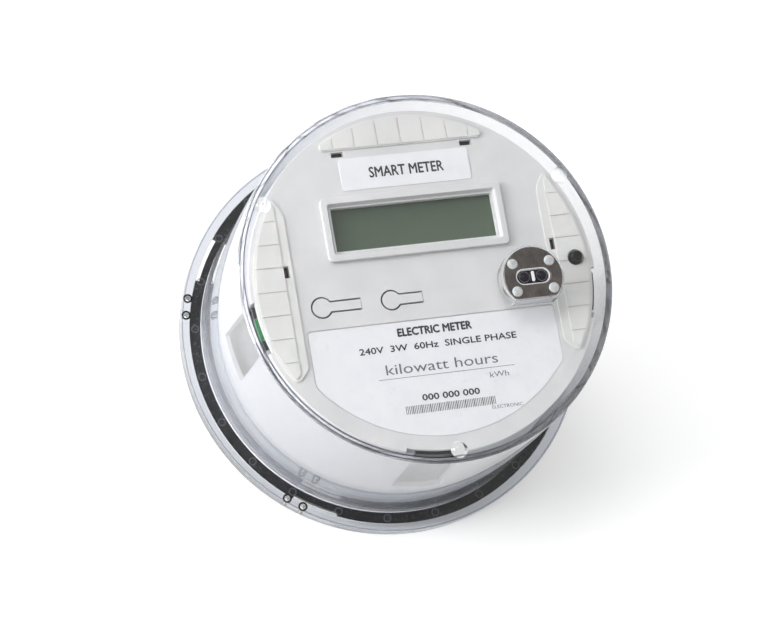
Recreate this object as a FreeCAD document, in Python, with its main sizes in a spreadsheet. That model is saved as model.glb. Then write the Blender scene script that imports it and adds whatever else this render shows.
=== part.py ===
import FreeCAD, Part
import math
import os
import re
import Sketcher

# Socket electricity meter, in millimetres. Every piece is drawn about the meter's own axis: x to the right,
# y up and z forward from the seat, where the rim rests on its socket. UPRIGHT then turns each finished piece
# so that its front faces -Y and its top faces +Z.

# ---------------------------------------------------------------- driving dimensions
SIZES = {
    # clear outer cover
    "rim_radius": 88.4,
    "rim_height": 6.0,
    "lip_width": 4.0,
    "cover_flange": 2.8,
    "drum_rear_radius": 79.6,
    "drum_front_radius": 77.8,
    "cover_height": 94.6,
    "cover_wall": 2.5,
    "edge_bevel": 1.0,
    "stud_inset": 5.1,
    "stud_radius": 3.5,
    "stud_height": 2.4,
    "twist_angle": 15.0,
    "lug_angle": 12.0,
    "lug_reach": 1.6,
    "lug_height": 1.0,
    "seal_hole_radius": 1.2,
    "seal_hole_inset": 2.2,
    "seal_hole_step": 5.0,
    # optical port on the cover
    "port_right": 41.5,
    "port_down": 7.0,
    "port_radius": 12.3,
    "port_flat": 8.9,
    "port_rim": 1.0,
    "port_height": 6.0,
    "port_shell": 1.8,
    "port_plate": 1.2,
    "port_slot_length": 14.8,
    "port_slot_width": 7.1,
    "rivet_right": 7.8,
    "rivet_up": 5.8,
    "rivet_shank": 1.2,
    "rivet_head": 2.2,
    "rivet_dome": 0.8,
    # black base
    "fit_gap": 0.2,
    "base_flange": 2.6,
    "boss_gap": 0.7,
    "base_wall": 3.0,
    "back_depth": 8.0,
    "base_floor": 3.0,
    "spigot_gap": 0.4,
    "spigot_wall": 2.4,
    "spigot_height": 12.0,
    "gasket_width": 2.4,
    "gasket_gap": 0.1,
    "leg_right": 46.0,
    "leg_up": 22.0,
    "leg_thick": 4.0,
    "leg_wide": 16.0,
    "leg_length": 23.0,
    # white shroud and face
    "shroud_seat_gap": 0.7,
    "shroud_clearance": 2.7,
    "shroud_wall": 1.8,
    "shroud_rear": 3.4,
    "face_clearance": 4.5,
    "face_thick": 2.2,
    "relief": 0.6,
    "relief_inset": 2.1,
    "top_relief_up": 57.9,
    "top_relief_half": 33.5,
    "side_relief_right": 57.2,
    "side_relief_up": 39.5,
    "side_relief_down": 37.5,
    "latch_long": 5.0,
    "latch_short": 2.2,
    "top_latch_right": 27.4,
    "top_latch_up": 56.2,
    "side_latch_right": 56.3,
    "side_latch_up": 9.0,
    "edge_slot_depth": 1.6,
    "edge_slot_angle": 17.4,
    "pocket_angle": 15.5,
    "pocket_rear": 44.0,
    # display
    "window_width": 68.3,
    "window_height": 18.4,
    "window_up": 24.4,
    "bezel_width": 76.5,
    "bezel_height": 27.0,
    "bezel_raise": 2.0,
    "glass_margin": 3.0,
    "glass_thick": 1.8,
    "strip_width": 2.0,
    "stack_gap": 0.2,
    # labels
    "label_thick": 0.25,
    "label_gap": 0.4,
    "name_width": 55.0,
    "name_height": 13.8,
    "name_up": 47.4,
    "rating_depth": 0.5,
    "rating_inset": 7.1,
    "rating_half": 52.2,
    "rating_top": 16.3,
    # flexing buttons
    "button_slot": 0.7,
    "button_thick": 1.6,
    "button_arm": 3.7,
    "button_root_gap": 0.2,
    "button_down": 7.1,
    "button_post": 1.5,
    "left_button_right": -44.2,
    "left_button_radius": 3.9,
    "left_button_root": -27.8,
    "right_button_right": -15.3,
    "right_button_radius": 3.7,
    "right_button_root": -2.0,
    "switch_side": 6.0,
    "switch_height": 2.0,
    "switch_cap": 0.3,
    "press_travel": 1.0,
    # reset plunger
    "plunger_right": 65.0,
    "plunger_up": 2.0,
    "plunger_radius": 2.5,
    "plunger_clearance": 0.5,
    "plunger_length": 12.2,
    "plunger_gap": 0.1,
    "plunger_sink": 4.4,
    "guide_radius": 4.3,
    "guide_floor": 1.2,
    "guide_length": 11.4,
    "spring_radius": 1.8,
    "spring_wire": 0.25,
    "spring_turns": 3.5,
    # infrared parts under the port
    "diode_radius": 2.3,
    "diode_offset": 3.8,
    "diode_clearance": 2.5,
    "divider_thick": 1.6,
    "divider_height": 4.6,
    "divider_clearance": 0.7,
    "optic_slot_length": 16.5,
    "optic_slot_width": 8.5,
    # boards and inner frame
    "board_thick": 1.6,
    "display_board_gap": 0.2,
    "display_board_clearance": 5.0,
    "metering_board_gap": 0.5,
    "metering_board_rear": 44.0,
    "frame_gap": 2.3,
    "frame_wall": 2.0,
    "frame_ledge": 3.5,
    "frame_window": 20.0,
    "screw_inset": 1.0,
    "screw_radius": 1.5,
    "screw_length": 14.0,
    "screw_head": 2.8,
    "screw_sink": 1.5,
    "screw_post": 3.0,
    "header_width": 30.0,
    "header_depth": 5.0,
    "header_down": 55.0,
    # components on the metering board
    "transformer_width": 26.0,
    "transformer_height": 22.0,
    "transformer_depth": 20.0,
    "transformer_right": -30.0,
    "transformer_up": 22.0,
    "capacitor_radius": 5.0,
    "capacitor_length": 20.0,
    "capacitor_step": 13.0,
    "capacitor_up": -8.0,
    "varistor_radius": 7.0,
    "varistor_thick": 4.0,
    "varistor_right": 12.0,
    "varistor_up": 46.0,
    "backup_radius": 8.0,
    "backup_length": 12.0,
    "backup_right": 26.0,
    "backup_up": -34.0,
    "chip_side": 12.0,
    "chip_thick": 1.6,
    "chip_right": 8.0,
    "chip_up": 12.0,
    "shield_width": 30.0,
    "shield_height": 24.0,
    "shield_depth": 4.0,
    "shield_right": 36.0,
    "shield_up": 20.0,
    "antenna_length": 44.0,
    "antenna_depth": 20.0,
    "antenna_thick": 1.0,
    "antenna_right": 56.0,
    # blades, current bars and sensors
    "blade_right": 27.0,
    "blade_up": 43.0,
    "blade_width": 19.0,
    "blade_thick": 2.4,
    "blade_length": 28.6,
    "blade_head": 14.0,
    "blade_gap": 0.1,
    "pin_radius": 1.0,
    "pin_length": 9.0,
    "pin_gap": 0.05,
    "bar_thick": 2.4,
    "bar_depth": 10.0,
    "line_bar_end": 6.0,
    "load_bar_end": 14.6,
    "sensor_up": 26.2,
    "sensor_radius": 12.0,
    "sensor_bore": 6.4,
    "sensor_length": 9.0,
    # service switch
    "case_width": 76.0,
    "case_height": 38.0,
    "case_depth": 24.0,
    "case_wall": 2.0,
    "arm_thick": 0.8,
    "arm_depth": 8.0,
    "arm_up": 13.0,
    "arm_hinge_down": 13.0,
    "arm_tail": 3.0,
    "arm_root_gap": 0.4,
    "pivot_radius": 0.6,
    "pivot_barrel": 1.2,
    "contact_radius": 2.5,
    "contact_thick": 0.6,
    "contact_gap": 0.1,
    "contact_up": 10.0,
    "arm_pin_radius": 0.8,
    "arm_pin_up": 4.0,
    "arm_pin_gap": 0.3,
    "slider_thick": 1.6,
    "slider_width": 50.0,
    "slider_height": 12.0,
    "slider_up": 4.0,
    "slider_travel": 3.0,
    "open_angle": 5.0,
    "coil_radius": 6.0,
    "coil_bore": 2.1,
    "coil_length": 10.0,
    "coil_end": 6.0,
    "coil_flange": 1.0,
    "rod_radius": 2.0,
    "rod_length": 12.0,
    "rod_forward": 7.5,
    "tab_width": 6.0,
    "tab_thick": 2.0,
}

# ---------------------------------------------------------------- places worked out from them
DERIVED = {
    "flange_rear": "rim_height - cover_flange",
    "lip_radius": "rim_radius - lip_width",
    "base_radius": "lip_radius - fit_gap",
    "cover_inside": "cover_height - cover_wall",
    "stud_circle": "drum_front_radius - stud_inset",
    "seal_hole_circle": "rim_radius - seal_hole_inset",
    "boss_front": "cover_height + port_height",
    "plate_front": "boss_front + port_plate",
    "lug_radius": "lip_radius - lug_reach",
    "floor_rear": "0 - back_depth",
    "floor_front": "base_floor - back_depth",
    "shroud_rear_radius": "drum_rear_radius - cover_wall - shroud_seat_gap",
    "shroud_front_radius": "drum_front_radius - cover_wall - shroud_clearance",
    "spigot_radius": "shroud_rear_radius - shroud_wall - spigot_gap",
    "spigot_inner": "spigot_radius - spigot_wall",
    "face_radius": "shroud_front_radius",
    "face_front": "cover_inside - face_clearance",
    "face_rear": "face_front - face_thick",
    "relief_radius": "face_radius - relief_inset",
    "rating_radius": "face_radius - rating_inset",
    "display_board_rear": "face_rear - display_board_clearance",
    "display_board_radius": "shroud_front_radius - shroud_wall - display_board_gap",
    "display_board_front": "display_board_rear + board_thick",
    "metering_board_front": "metering_board_rear + board_thick",
    "glass_front": "face_rear - stack_gap",
    "glass_rear": "glass_front - glass_thick",
    "glass_width": "window_width + 2 * glass_margin",
    "glass_height": "window_height + 2 * glass_margin",
    "frame_radius": "spigot_inner - frame_gap",
    "frame_inner": "frame_radius - frame_wall",
    "metering_board_radius": "frame_inner - metering_board_gap",
    "screw_circle": "frame_radius - screw_inset",
    "boss_radius": "screw_circle - screw_head - boss_gap",
    "plunger_front": "cover_inside - plunger_clearance",
    "divider_front": "cover_inside - divider_clearance",
    "diode_front": "cover_inside - diode_clearance",
    "guide_rear": "face_rear - guide_length",
    "guide_bore": "plunger_radius + plunger_gap",
    "bar_outer": "blade_right - blade_thick / 2",
    "bar_inner": "bar_outer - bar_thick",
    "bar_rear": "blade_head - bar_depth",
    "bar_middle": "blade_head - bar_depth / 2",
    "bar_outer_end": "blade_up + blade_width / 2 - blade_gap",
    "case_rear": "floor_front",
    "case_front": "case_rear + case_depth",
    "lid_rear": "case_front - case_wall",
    "contact_face": "bar_inner - contact_thick",
    "arm_outer": "contact_face - contact_gap - contact_thick",
    "arm_middle": "arm_outer - arm_thick / 2",
    "arm_rear": "bar_middle - arm_depth / 2",
    "arm_front": "bar_middle + arm_depth / 2",
    "slider_rear": "blade_head + contact_gap",
    "slider_front": "slider_rear + slider_thick",
}

App = FreeCAD
X_AXIS = App.Vector(1, 0, 0)
Y_AXIS = App.Vector(0, 1, 0)
Z_AXIS = App.Vector(0, 0, 1)
UPRIGHT = App.Placement(App.Vector(0, 0, 0), App.Rotation(X_AXIS, 90))
LEFT = -1
RIGHT = 1

doc = App.newDocument("electric_meter")
pieces = []


# ---------------------------------------------------------------- sheet and expressions
def write_sheet():
    """Put every driving dimension in a cell of its own, under its own alias."""
    sheet = doc.addObject("Spreadsheet::Sheet", "dims")
    for row, (alias, size) in enumerate(SIZES.items(), start=1):
        sheet.set(f"A{row}", alias)
        sheet.set(f"B{row}", str(size))
        sheet.setAlias(f"B{row}", alias)
    doc.recompute()
    return sheet


dims = write_sheet()


def in_sheet(expression):
    """Point every size named in an expression at its cell in the sheet."""
    def cell(word):
        if word[0] in DERIVED:
            return f"({in_sheet(DERIVED[word[0]])})"
        return f"dims.{word[0]}" if word[0] in SIZES else word[0]
    return re.sub(r"[a-z]\w+", cell, str(expression))


def size(expression):
    """The present value of an expression, for a shape that Part's own functions make."""
    return float(dims.evalExpression(in_sheet(expression)))


def bind(thing, **expressions):
    """Tie properties to the sheet."""
    for name, expression in expressions.items():
        thing.setExpression(name, in_sheet(expression))
    return thing


def move(thing, x=0, y=0, z=0, axis=Z_AXIS, angle=0):
    """Turn a solid about an axis, then place it by expressions."""
    thing.Placement = App.Placement(App.Vector(0, 0, 0), App.Rotation(axis, angle))
    thing.addProperty("App::PropertyStringList", "Place", "Part", "x, y and z as expressions")
    thing.Place = [str(x), str(y), str(z)]
    for path, place in zip("xyz", thing.Place):
        thing.setExpression(f"Placement.Base.{path}", in_sheet(place))
    return thing


# ---------------------------------------------------------------- solids
def rod(radius, length, x=0, y=0, z=0, axis=Z_AXIS, angle=0):
    """A cylinder that runs forward from z, or along another axis."""
    cylinder = bind(doc.addObject("Part::Cylinder", "rod"), Radius=radius, Height=length)
    return move(cylinder, x, y, z, axis, angle)


def block(width, height, depth, x=0, y=0, z=0):
    """A block centred on x and y that runs forward from z."""
    solid = bind(doc.addObject("Part::Box", "block"), Length=width, Width=height, Height=depth)
    return move(solid, f"{x} - ({width}) / 2", f"{y} - ({height}) / 2", z)


def sector(radius, length, start, sweep, z=0):
    """A wedge of a cylinder, from a start angle in degrees and through an angle of the sheet."""
    solid = bind(doc.addObject("Part::Cylinder", "sector"), Radius=radius, Height=length, Angle=sweep)
    return move(solid, 0, 0, z, Z_AXIS, start)


def ball(radius, x, y, z):
    """A sphere."""
    return move(bind(doc.addObject("Part::Sphere", "ball"), Radius=radius), x, y, z)


def frustum(rear_radius, front_radius, length, x=0, y=0, z=0):
    """A cone's frustum that runs forward from z."""
    solid = doc.addObject("Part::Cone", "frustum")
    return move(bind(solid, Radius1=rear_radius, Radius2=front_radius, Height=length), x, y, z)


def fuse(*solids):
    """Several solids as one."""
    joined = doc.addObject("Part::MultiFuse", "fuse")
    joined.Shapes = list(solids)
    return joined


def cut(base, *tools):
    """A solid less its tools."""
    result = doc.addObject("Part::Cut", "cut")
    result.Base = base
    result.Tool = tools[0] if len(tools) == 1 else fuse(*tools)
    return result


def common(*solids):
    """What several solids share."""
    shared = doc.addObject("Part::MultiCommon", "common")
    shared.Shapes = list(solids)
    return shared


def ring(outer, inner, length, z=0):
    """A flat ring or a tube about the meter's axis."""
    return cut(rod(outer, length, z=z), rod(inner, length, z=z))


def slot(length, width, depth, x, y, z):
    """A solid with round ends, lying along x."""
    run = f"(({length}) - ({width})) / 2"
    ends = [rod(f"({width}) / 2", depth, f"{x} {sign} {run}", y, z) for sign in "-+"]
    return fuse(block(f"({length}) - ({width})", width, depth, x, y, z), *ends)


def revolved(name, corners):
    """A body turned about the meter's axis from an outline of (radius, z) corners."""
    body = doc.addObject("PartDesign::Body", name)
    sketch = body.newObject("Sketcher::SketchObject", f"{name}_outline")
    plane = next(origin for origin in body.Origin.OriginFeatures if origin.Role == "XZ_Plane")
    sketch.AttachmentSupport = [(plane, "")]
    sketch.MapMode = "FlatFace"
    points = [App.Vector(size(radius), size(z), 0) for radius, z in corners]
    for index, point in enumerate(points):
        sketch.addGeometry(Part.LineSegment(point, points[(index + 1) % len(points)]), False)
    for index, corner in enumerate(corners):
        following = (index + 1) % len(corners)
        sketch.addConstraint(Sketcher.Constraint("Coincident", index, 2, following, 1))
        for direction, axis, place in (("DistanceX", -2, corner[0]), ("DistanceY", -1, corner[1])):
            if place == 0:
                sketch.addConstraint(Sketcher.Constraint("PointOnObject", index, 1, axis))
                continue
            number = sketch.addConstraint(Sketcher.Constraint(direction, -1, 1, index, 1, size(place)))
            sketch.setExpression(f"Constraints[{number}]", in_sheet(place))
    turned = body.newObject("PartDesign::Revolution", f"{name}_turned")
    turned.Profile = (sketch, [""])
    turned.ReferenceAxis = (sketch, ["V_Axis"])
    turned.Angle = 360
    sketch.Visibility = False
    return body


# ---------------------------------------------------------------- finished pieces
def piece(label, *solids):
    """Stand a finished piece upright under its own label; several solids make one group."""
    if len(solids) > 1:
        whole = doc.addObject("Part::Compound", label)
        whole.Links = list(solids)
    else:
        whole = solids[0]
    if hasattr(whole, "Place"):
        x, y, z = whole.Place
        for path, place in zip("xyz", (x, f"0 - ({z})", y)):
            whole.setExpression(f"Placement.Base.{path}", in_sheet(place))
        whole.Placement = App.Placement(App.Vector(0, 0, 0), UPRIGHT.Rotation * whole.Placement.Rotation)
    else:
        whole.Placement = UPRIGHT
    whole.Label = label
    pieces.append(whole)
    return whole


def polar(radius, angle):
    """x and y expressions of a point at a radius and an angle in degrees."""
    turn = math.radians(angle)
    return f"({radius}) * {math.cos(turn):.6f}", f"({radius}) * {math.sin(turn):.6f}"


# ---------------------------------------------------------------- clear outer cover
STUD_ANGLES = (30, 150, 270)
LUG_ANGLES = (45, 135, 225, 315)
SEAL_ANGLES = (166, 234)
PORT = ("port_right", "0 - port_down")
RIVET_PLACES = [(right, up) for right in "-+" for up in "-+"]


def port_outline(radius, flat, depth, z):
    """A round solid with a flat below, about the port's centre."""
    disc = rod(radius, depth, *PORT, z)
    below = block(f"3 * ({radius})", radius, depth, PORT[0], f"{PORT[1]} - ({flat}) - ({radius}) / 2", z)
    return cut(disc, below)


def rivet_place(right, up):
    """Centre of one of the port's rivets."""
    return f"port_right {right} rivet_right", f"0 - port_down {up} rivet_up"


def seal_holes(depth, z):
    """Pairs of small holes for the seal wire, through the cover's lip."""
    holes = []
    for angle in SEAL_ANGLES:
        for side in (LEFT, RIGHT):
            turn = angle + side * size("seal_hole_step") / 2
            holes.append(rod("seal_hole_radius", depth, *polar("seal_hole_circle", turn), z))
    return holes


def make_cover():
    """Drum, rim and lip in one moulding, with twist lugs, feet studs and the port's hollow boss."""
    drum = revolved("cover_drum", [
        ("rim_radius", 0),
        ("rim_radius", "rim_height"),
        ("drum_rear_radius", "rim_height"),
        ("drum_front_radius", "cover_height - edge_bevel"),
        ("drum_front_radius - edge_bevel", "cover_height"),
        (0, "cover_height"),
        (0, "cover_inside"),
        ("drum_front_radius - cover_wall", "cover_inside"),
        ("drum_rear_radius - cover_wall", "flange_rear"),
        ("lip_radius", "flange_rear"),
        ("lip_radius", 0),
    ])
    stud_ball = "(stud_radius ^ 2 + stud_height ^ 2) / (2 * stud_height)"
    stud_centre = f"cover_height + stud_height - {stud_ball}"
    studs = []
    for angle in STUD_ANGLES:
        x, y = polar("stud_circle", angle)
        root = rod("stud_radius", "cover_wall / 2 + stud_height", x, y, "cover_height - cover_wall / 2")
        studs.append(common(ball(stud_ball, x, y, stud_centre), root))
    lugs = []
    for angle in LUG_ANGLES:
        start = angle - size("lug_angle") / 2
        wedge = sector("lip_radius + lip_width / 2", "lug_height", start, "lug_angle")
        lugs.append(cut(wedge, rod("lug_radius", "lug_height")))
    boss = port_outline("port_radius + port_rim", "port_flat + port_rim", "port_height + cover_wall",
                        "cover_inside")
    hollow = port_outline("port_radius + port_rim - port_shell", "port_flat + port_rim - port_shell",
                          "port_height + cover_wall - port_shell", "cover_inside")
    whole = cut(fuse(drum, boss, *studs, *lugs), hollow, *seal_holes("rim_height", 0))
    piece("outer_cover", whole)


def make_port():
    """Stainless plate on the boss, held by four clear rivets."""
    shanks = [rod("rivet_shank + pin_gap", "port_plate", *rivet_place(*place), "boss_front")
              for place in RIVET_PLACES]
    window = slot("port_slot_length", "port_slot_width", "port_plate", *PORT, "boss_front")
    plate = port_outline("port_radius", "port_flat", "port_plate", "boss_front")
    piece("optical_port_plate", cut(plate, window, *shanks))
    rivets = []
    head_ball = "(rivet_head ^ 2 + rivet_dome ^ 2) / (2 * rivet_dome)"
    for place in RIVET_PLACES:
        x, y = rivet_place(*place)
        head = common(ball(head_ball, x, y, f"plate_front + rivet_dome - {head_ball}"),
                      rod("rivet_head", "rivet_dome", x, y, "plate_front"))
        rivets.append(fuse(rod("rivet_shank", "port_plate", x, y, "boss_front"), head))
    piece("optical_port_rivets", *rivets)


# ---------------------------------------------------------------- base, shroud and inner frame
SCREW_ANGLES = (90, 210, 330)
BLADES = [(side, up) for up in (1, -1) for side in (LEFT, RIGHT)]
BLADE_NAMES = {1: "line", -1: "load"}
SIDE_NAMES = {LEFT: "left", RIGHT: "right"}
LEG_SIDES = [(side, up) for side in (LEFT, RIGHT) for up in (1, -1)]


def make_base():
    """Black base: flange, hollow boss, spigot for the shroud, and four rear legs."""
    turned = revolved("base_turned", [
        (0, "floor_rear"),
        ("boss_radius", "floor_rear"),
        ("boss_radius", 0),
        ("base_radius", 0),
        ("base_radius", "base_flange"),
        ("spigot_radius", "base_flange"),
        ("spigot_radius", "spigot_height"),
        ("spigot_inner", "spigot_height"),
        ("spigot_inner", "base_flange"),
        ("boss_radius - base_wall", "base_flange"),
        ("boss_radius - base_wall", "floor_front"),
        (0, "floor_front"),
    ])
    legs = [block("leg_thick", "leg_wide", "leg_length + base_floor / 2", f"{side} * leg_right",
                  f"{up} * leg_up", "floor_rear - leg_length") for side, up in LEG_SIDES]
    slots = [block("blade_thick + 2 * blade_gap", "blade_width + 2 * blade_gap", "base_floor",
                   f"{side} * blade_right", f"{up} * blade_up", "floor_rear") for side, up in BLADES]
    tracks = []
    for angle in LUG_ANGLES:
        start = angle - size("lug_angle") / 2 - 1
        sweep = "lug_angle + twist_angle + 2"
        track = sector("rim_radius", "lug_height + fit_gap", start, sweep)
        tracks.append(cut(track, rod("lug_radius - fit_gap", "lug_height + fit_gap")))
        entry = sector("rim_radius", "base_flange", start + size("twist_angle"), "lug_angle + 2")
        tracks.append(cut(entry, rod("lug_radius - fit_gap", "base_flange")))
    screws = []
    for angle in SCREW_ANGLES:
        x, y = polar("screw_circle", angle)
        screws.append(rod("screw_radius + pin_gap", "base_flange", x, y, 0))
        screws.append(frustum("screw_head + pin_gap", "screw_radius + pin_gap", "screw_sink", x, y, 0))
    piece("base", cut(fuse(turned, *legs), *slots, *tracks, *screws))
    gasket = ring("drum_rear_radius", "drum_rear_radius - gasket_width",
                  "flange_rear - base_flange - gasket_gap", "base_flange")
    piece("cover_gasket", gasket)
    fasteners = []
    for angle in SCREW_ANGLES:
        x, y = polar("screw_circle", angle)
        shank = rod("screw_radius", "screw_length", x, y, 0)
        fasteners.append(fuse(shank, frustum("screw_head", "screw_radius", "screw_sink", x, y, 0)))
    piece("base_screws", *fasteners)


def make_shroud():
    """White tapered shroud about the boards, open at three side pockets."""
    skin = revolved("shroud_skin", [
        ("shroud_rear_radius", "shroud_rear"),
        ("shroud_front_radius", "face_rear - stack_gap"),
        ("shroud_front_radius - shroud_wall", "face_rear - stack_gap"),
        ("shroud_rear_radius - shroud_wall", "shroud_rear"),
    ])
    pockets = [sector("rim_radius", "face_front - pocket_rear", start, "pocket_angle", "pocket_rear")
               for start in (182, 257, 343)]
    piece("inner_shroud", cut(skin, *pockets))


def make_frame():
    """Tubular inner frame that carries both boards."""
    ledge_depth = "frame_wall + 0.5"
    tube = ring("frame_radius", "frame_inner", "display_board_rear - base_flange", "base_flange")
    ledge = ring("frame_inner", "frame_inner - frame_ledge", ledge_depth,
                 f"metering_board_rear - ({ledge_depth})")
    posts = [rod("screw_post", "screw_length + screw_post", *polar("screw_circle", angle), "base_flange")
             for angle in SCREW_ANGLES]
    bores = [rod("screw_radius", "screw_length", *polar("screw_circle", angle), 0) for angle in SCREW_ANGLES]
    window_rear = "metering_board_front + 2 * screw_post"
    windows = [sector("frame_radius + fit_gap", "display_board_rear", start, "frame_window", window_rear)
               for start in (-10, 45, 120)]
    limit = rod("spigot_inner - fit_gap", "display_board_rear", z="base_flange")
    piece("inner_frame", common(cut(fuse(tube, ledge, *posts), *bores, *windows), limit))


# ---------------------------------------------------------------- face
BUTTONS = {"left_button": ("left_button_right", "left_button_radius", "left_button_root"),
           "right_button": ("right_button_right", "right_button_radius", "right_button_root")}
SLOT_STARTS = (181.6, 254.0, 340.5)


def keyhole(button, grow, depth, z, root_gap):
    """Round button with its arm, which ends at the root."""
    right, radius, root = BUTTONS[button]
    arm_length = f"{root} - ({root_gap}) - {right}"
    head = rod(f"{radius} + ({grow})", depth, right, "0 - button_down", z)
    arm = block(arm_length, f"button_arm + 2 * ({grow})", depth, f"{right} + ({arm_length}) / 2",
                "0 - button_down", z)
    return fuse(head, arm)


def make_face():
    """White face plate with raised side and top panels, latch windows, edge slots and a label recess."""
    plate = rod("face_radius", "face_thick", z="face_rear")
    side_height = "side_relief_up + side_relief_down"
    side_middle = "(side_relief_up - side_relief_down) / 2"
    panels = [
        common(rod("relief_radius", "relief", z="face_front"),
               block("2 * top_relief_half", "face_radius", "relief", 0, "top_relief_up + face_radius / 2",
                     "face_front")),
    ]
    for side in (LEFT, RIGHT):
        panels.append(common(
            rod("relief_radius", "relief", z="face_front"),
            block("face_radius", side_height, "relief",
                  f"{side} * (side_relief_right + face_radius / 2)", side_middle, "face_front")))
    depth = "face_thick + relief"
    cuts = [
        block("window_width", "window_height", depth, 0, "window_up", "face_rear"),
        slot("optic_slot_length", "optic_slot_width", depth, *PORT, "face_rear"),
        rod("guide_bore", depth, "plunger_right", "plunger_up", "face_rear"),
        frustum("guide_bore", "plunger_sink", "relief", "plunger_right", "plunger_up", "face_front"),
        common(rod("rating_radius", "rating_depth", z="face_front - rating_depth"),
               block("2 * rating_half", "rating_radius", "rating_depth", 0,
                     "0 - rating_top - rating_radius / 2", "face_front - rating_depth")),
    ]
    for side in (LEFT, RIGHT):
        cuts.append(block("latch_long", "latch_short", depth, f"{side} * top_latch_right", "top_latch_up",
                          "face_rear"))
        cuts.append(block("latch_short", "latch_long", depth, f"{side} * side_latch_right", "side_latch_up",
                          "face_rear"))
    for button in BUTTONS:
        cuts.append(keyhole(button, "button_slot", "face_thick", "face_rear", 0))
    for start in SLOT_STARTS:
        wedge = sector("rim_radius", depth, start, "edge_slot_angle", "face_rear")
        cuts.append(cut(wedge, rod("face_radius - edge_slot_depth", depth, z="face_rear")))
    piece("face_plate", cut(fuse(plate, *panels), *cuts))
    window = block("window_width", "window_height", "bezel_raise", 0, "window_up", "face_front")
    bezel = block("bezel_width", "bezel_height", "bezel_raise", 0, "window_up", "face_front")
    piece("display_bezel", cut(bezel, window))


def make_labels():
    """Thin labels: a plain one above the display, and the rating label in its recess."""
    piece("name_label", block("name_width", "name_height", "label_thick", 0, "name_up", "face_front"))
    rear = "face_front - rating_depth"
    piece("rating_label", common(
        rod("rating_radius - label_gap", "label_thick", z=rear),
        block("2 * (rating_half - label_gap)", "rating_radius", "label_thick", 0,
              "0 - rating_top - label_gap - rating_radius / 2", rear)))


def make_display():
    """Glass behind the window, light guide behind the glass, contact strips above and below it."""
    piece("display_glass", block("glass_width", "glass_height", "glass_thick", 0, "window_up", "glass_rear"))
    depth = "glass_rear - display_board_front"
    guide_height = "glass_height - 2 * strip_width - 2 * stack_gap"
    piece("display_light_guide", block("glass_width", guide_height, depth, 0, "window_up",
                                       "display_board_front"))
    strip_up = "(glass_height - strip_width) / 2"
    piece("display_contact_strips", *[
        block("glass_width", "strip_width", depth, 0, f"window_up {sign} {strip_up}", "display_board_front")
        for sign in "+-"])


def make_buttons():
    """Flexing keyhole buttons, each with a post above its own switch on the display board."""
    post_rear = "display_board_front + switch_height + switch_cap + press_travel + stack_gap"
    switches = []
    for button, (right, radius, root) in BUTTONS.items():
        pad_rear = "face_front - button_thick"
        post = rod("button_post", f"{pad_rear} - ({post_rear})", right, "0 - button_down", post_rear)
        piece(button, fuse(keyhole(button, 0, "button_thick", pad_rear, "button_root_gap"), post))
        body = block("switch_side", "switch_side", "switch_height", right, "0 - button_down",
                     "display_board_front")
        cap = rod("button_post", "switch_cap", right, "0 - button_down",
                  "display_board_front + switch_height")
        switches.append(fuse(body, cap))
    piece("button_switches", *switches)


def make_plunger():
    """Reset plunger in its guide, over a coil spring."""
    rear = "plunger_front - plunger_length"
    place = ("plunger_right", "plunger_up")
    piece("reset_plunger", rod("plunger_radius", "plunger_length", *place, rear))
    guide = rod("guide_radius", "face_rear - guide_rear", *place, "guide_rear")
    bore = rod("guide_bore", "face_rear - guide_rear - guide_floor", *place, "guide_rear + guide_floor")
    piece("plunger_guide", cut(guide, bore))
    spring = doc.addObject("Part::Feature", "plunger_spring")
    spring.Shape = coil_spring(size("spring_radius"), size("spring_wire"), size("spring_turns"),
                               size(f"{rear} - guide_rear - guide_floor"))
    spring.addProperty("App::PropertyStringList", "Place", "Part", "x, y and z as expressions")
    spring.Place = ["plunger_right", "plunger_up", "guide_rear + guide_floor"]
    piece("plunger_spring", spring)


def coil_spring(radius, wire, turns, length):
    """A round-wire helix standing on z = 0, with room for the wire at both ends."""
    foot = 1.1 * wire
    rise = length - 2 * foot
    helix = Part.makeHelix(rise / turns, rise, radius)
    helix.translate(App.Vector(0, 0, foot))
    along = App.Vector(0, 2 * math.pi * radius, rise / turns)
    section = Part.Wire([Part.makeCircle(wire, App.Vector(radius, 0, foot), along)])
    return Part.Wire(helix).makePipeShell([section], True, True)


def make_optics():
    """Infrared parts behind the port, either side of a divider."""
    length = "diode_front - display_board_front"
    for label, sign in (("infrared_emitter", "-"), ("infrared_receiver", "+")):
        piece(label, rod("diode_radius", length, f"port_right {sign} diode_offset", PORT[1],
                         "display_board_front"))
    piece("light_divider", block("divider_thick", "divider_height", "divider_front - display_board_front",
                                 *PORT, "display_board_front"))


# ---------------------------------------------------------------- boards and their components
def make_boards():
    """Register board behind the face and metering board behind it, joined by one header."""
    board = rod("display_board_radius", "board_thick", z="display_board_rear")
    notch = rod("guide_radius + fit_gap", "board_thick", "plunger_right", "plunger_up", "display_board_rear")
    piece("display_board", cut(board, notch))
    piece("metering_board", rod("metering_board_radius", "board_thick", z="metering_board_rear"))
    piece("board_header", block("header_width", "header_depth", "display_board_rear - metering_board_front",
                                0, "0 - header_down", "metering_board_front"))


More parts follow.
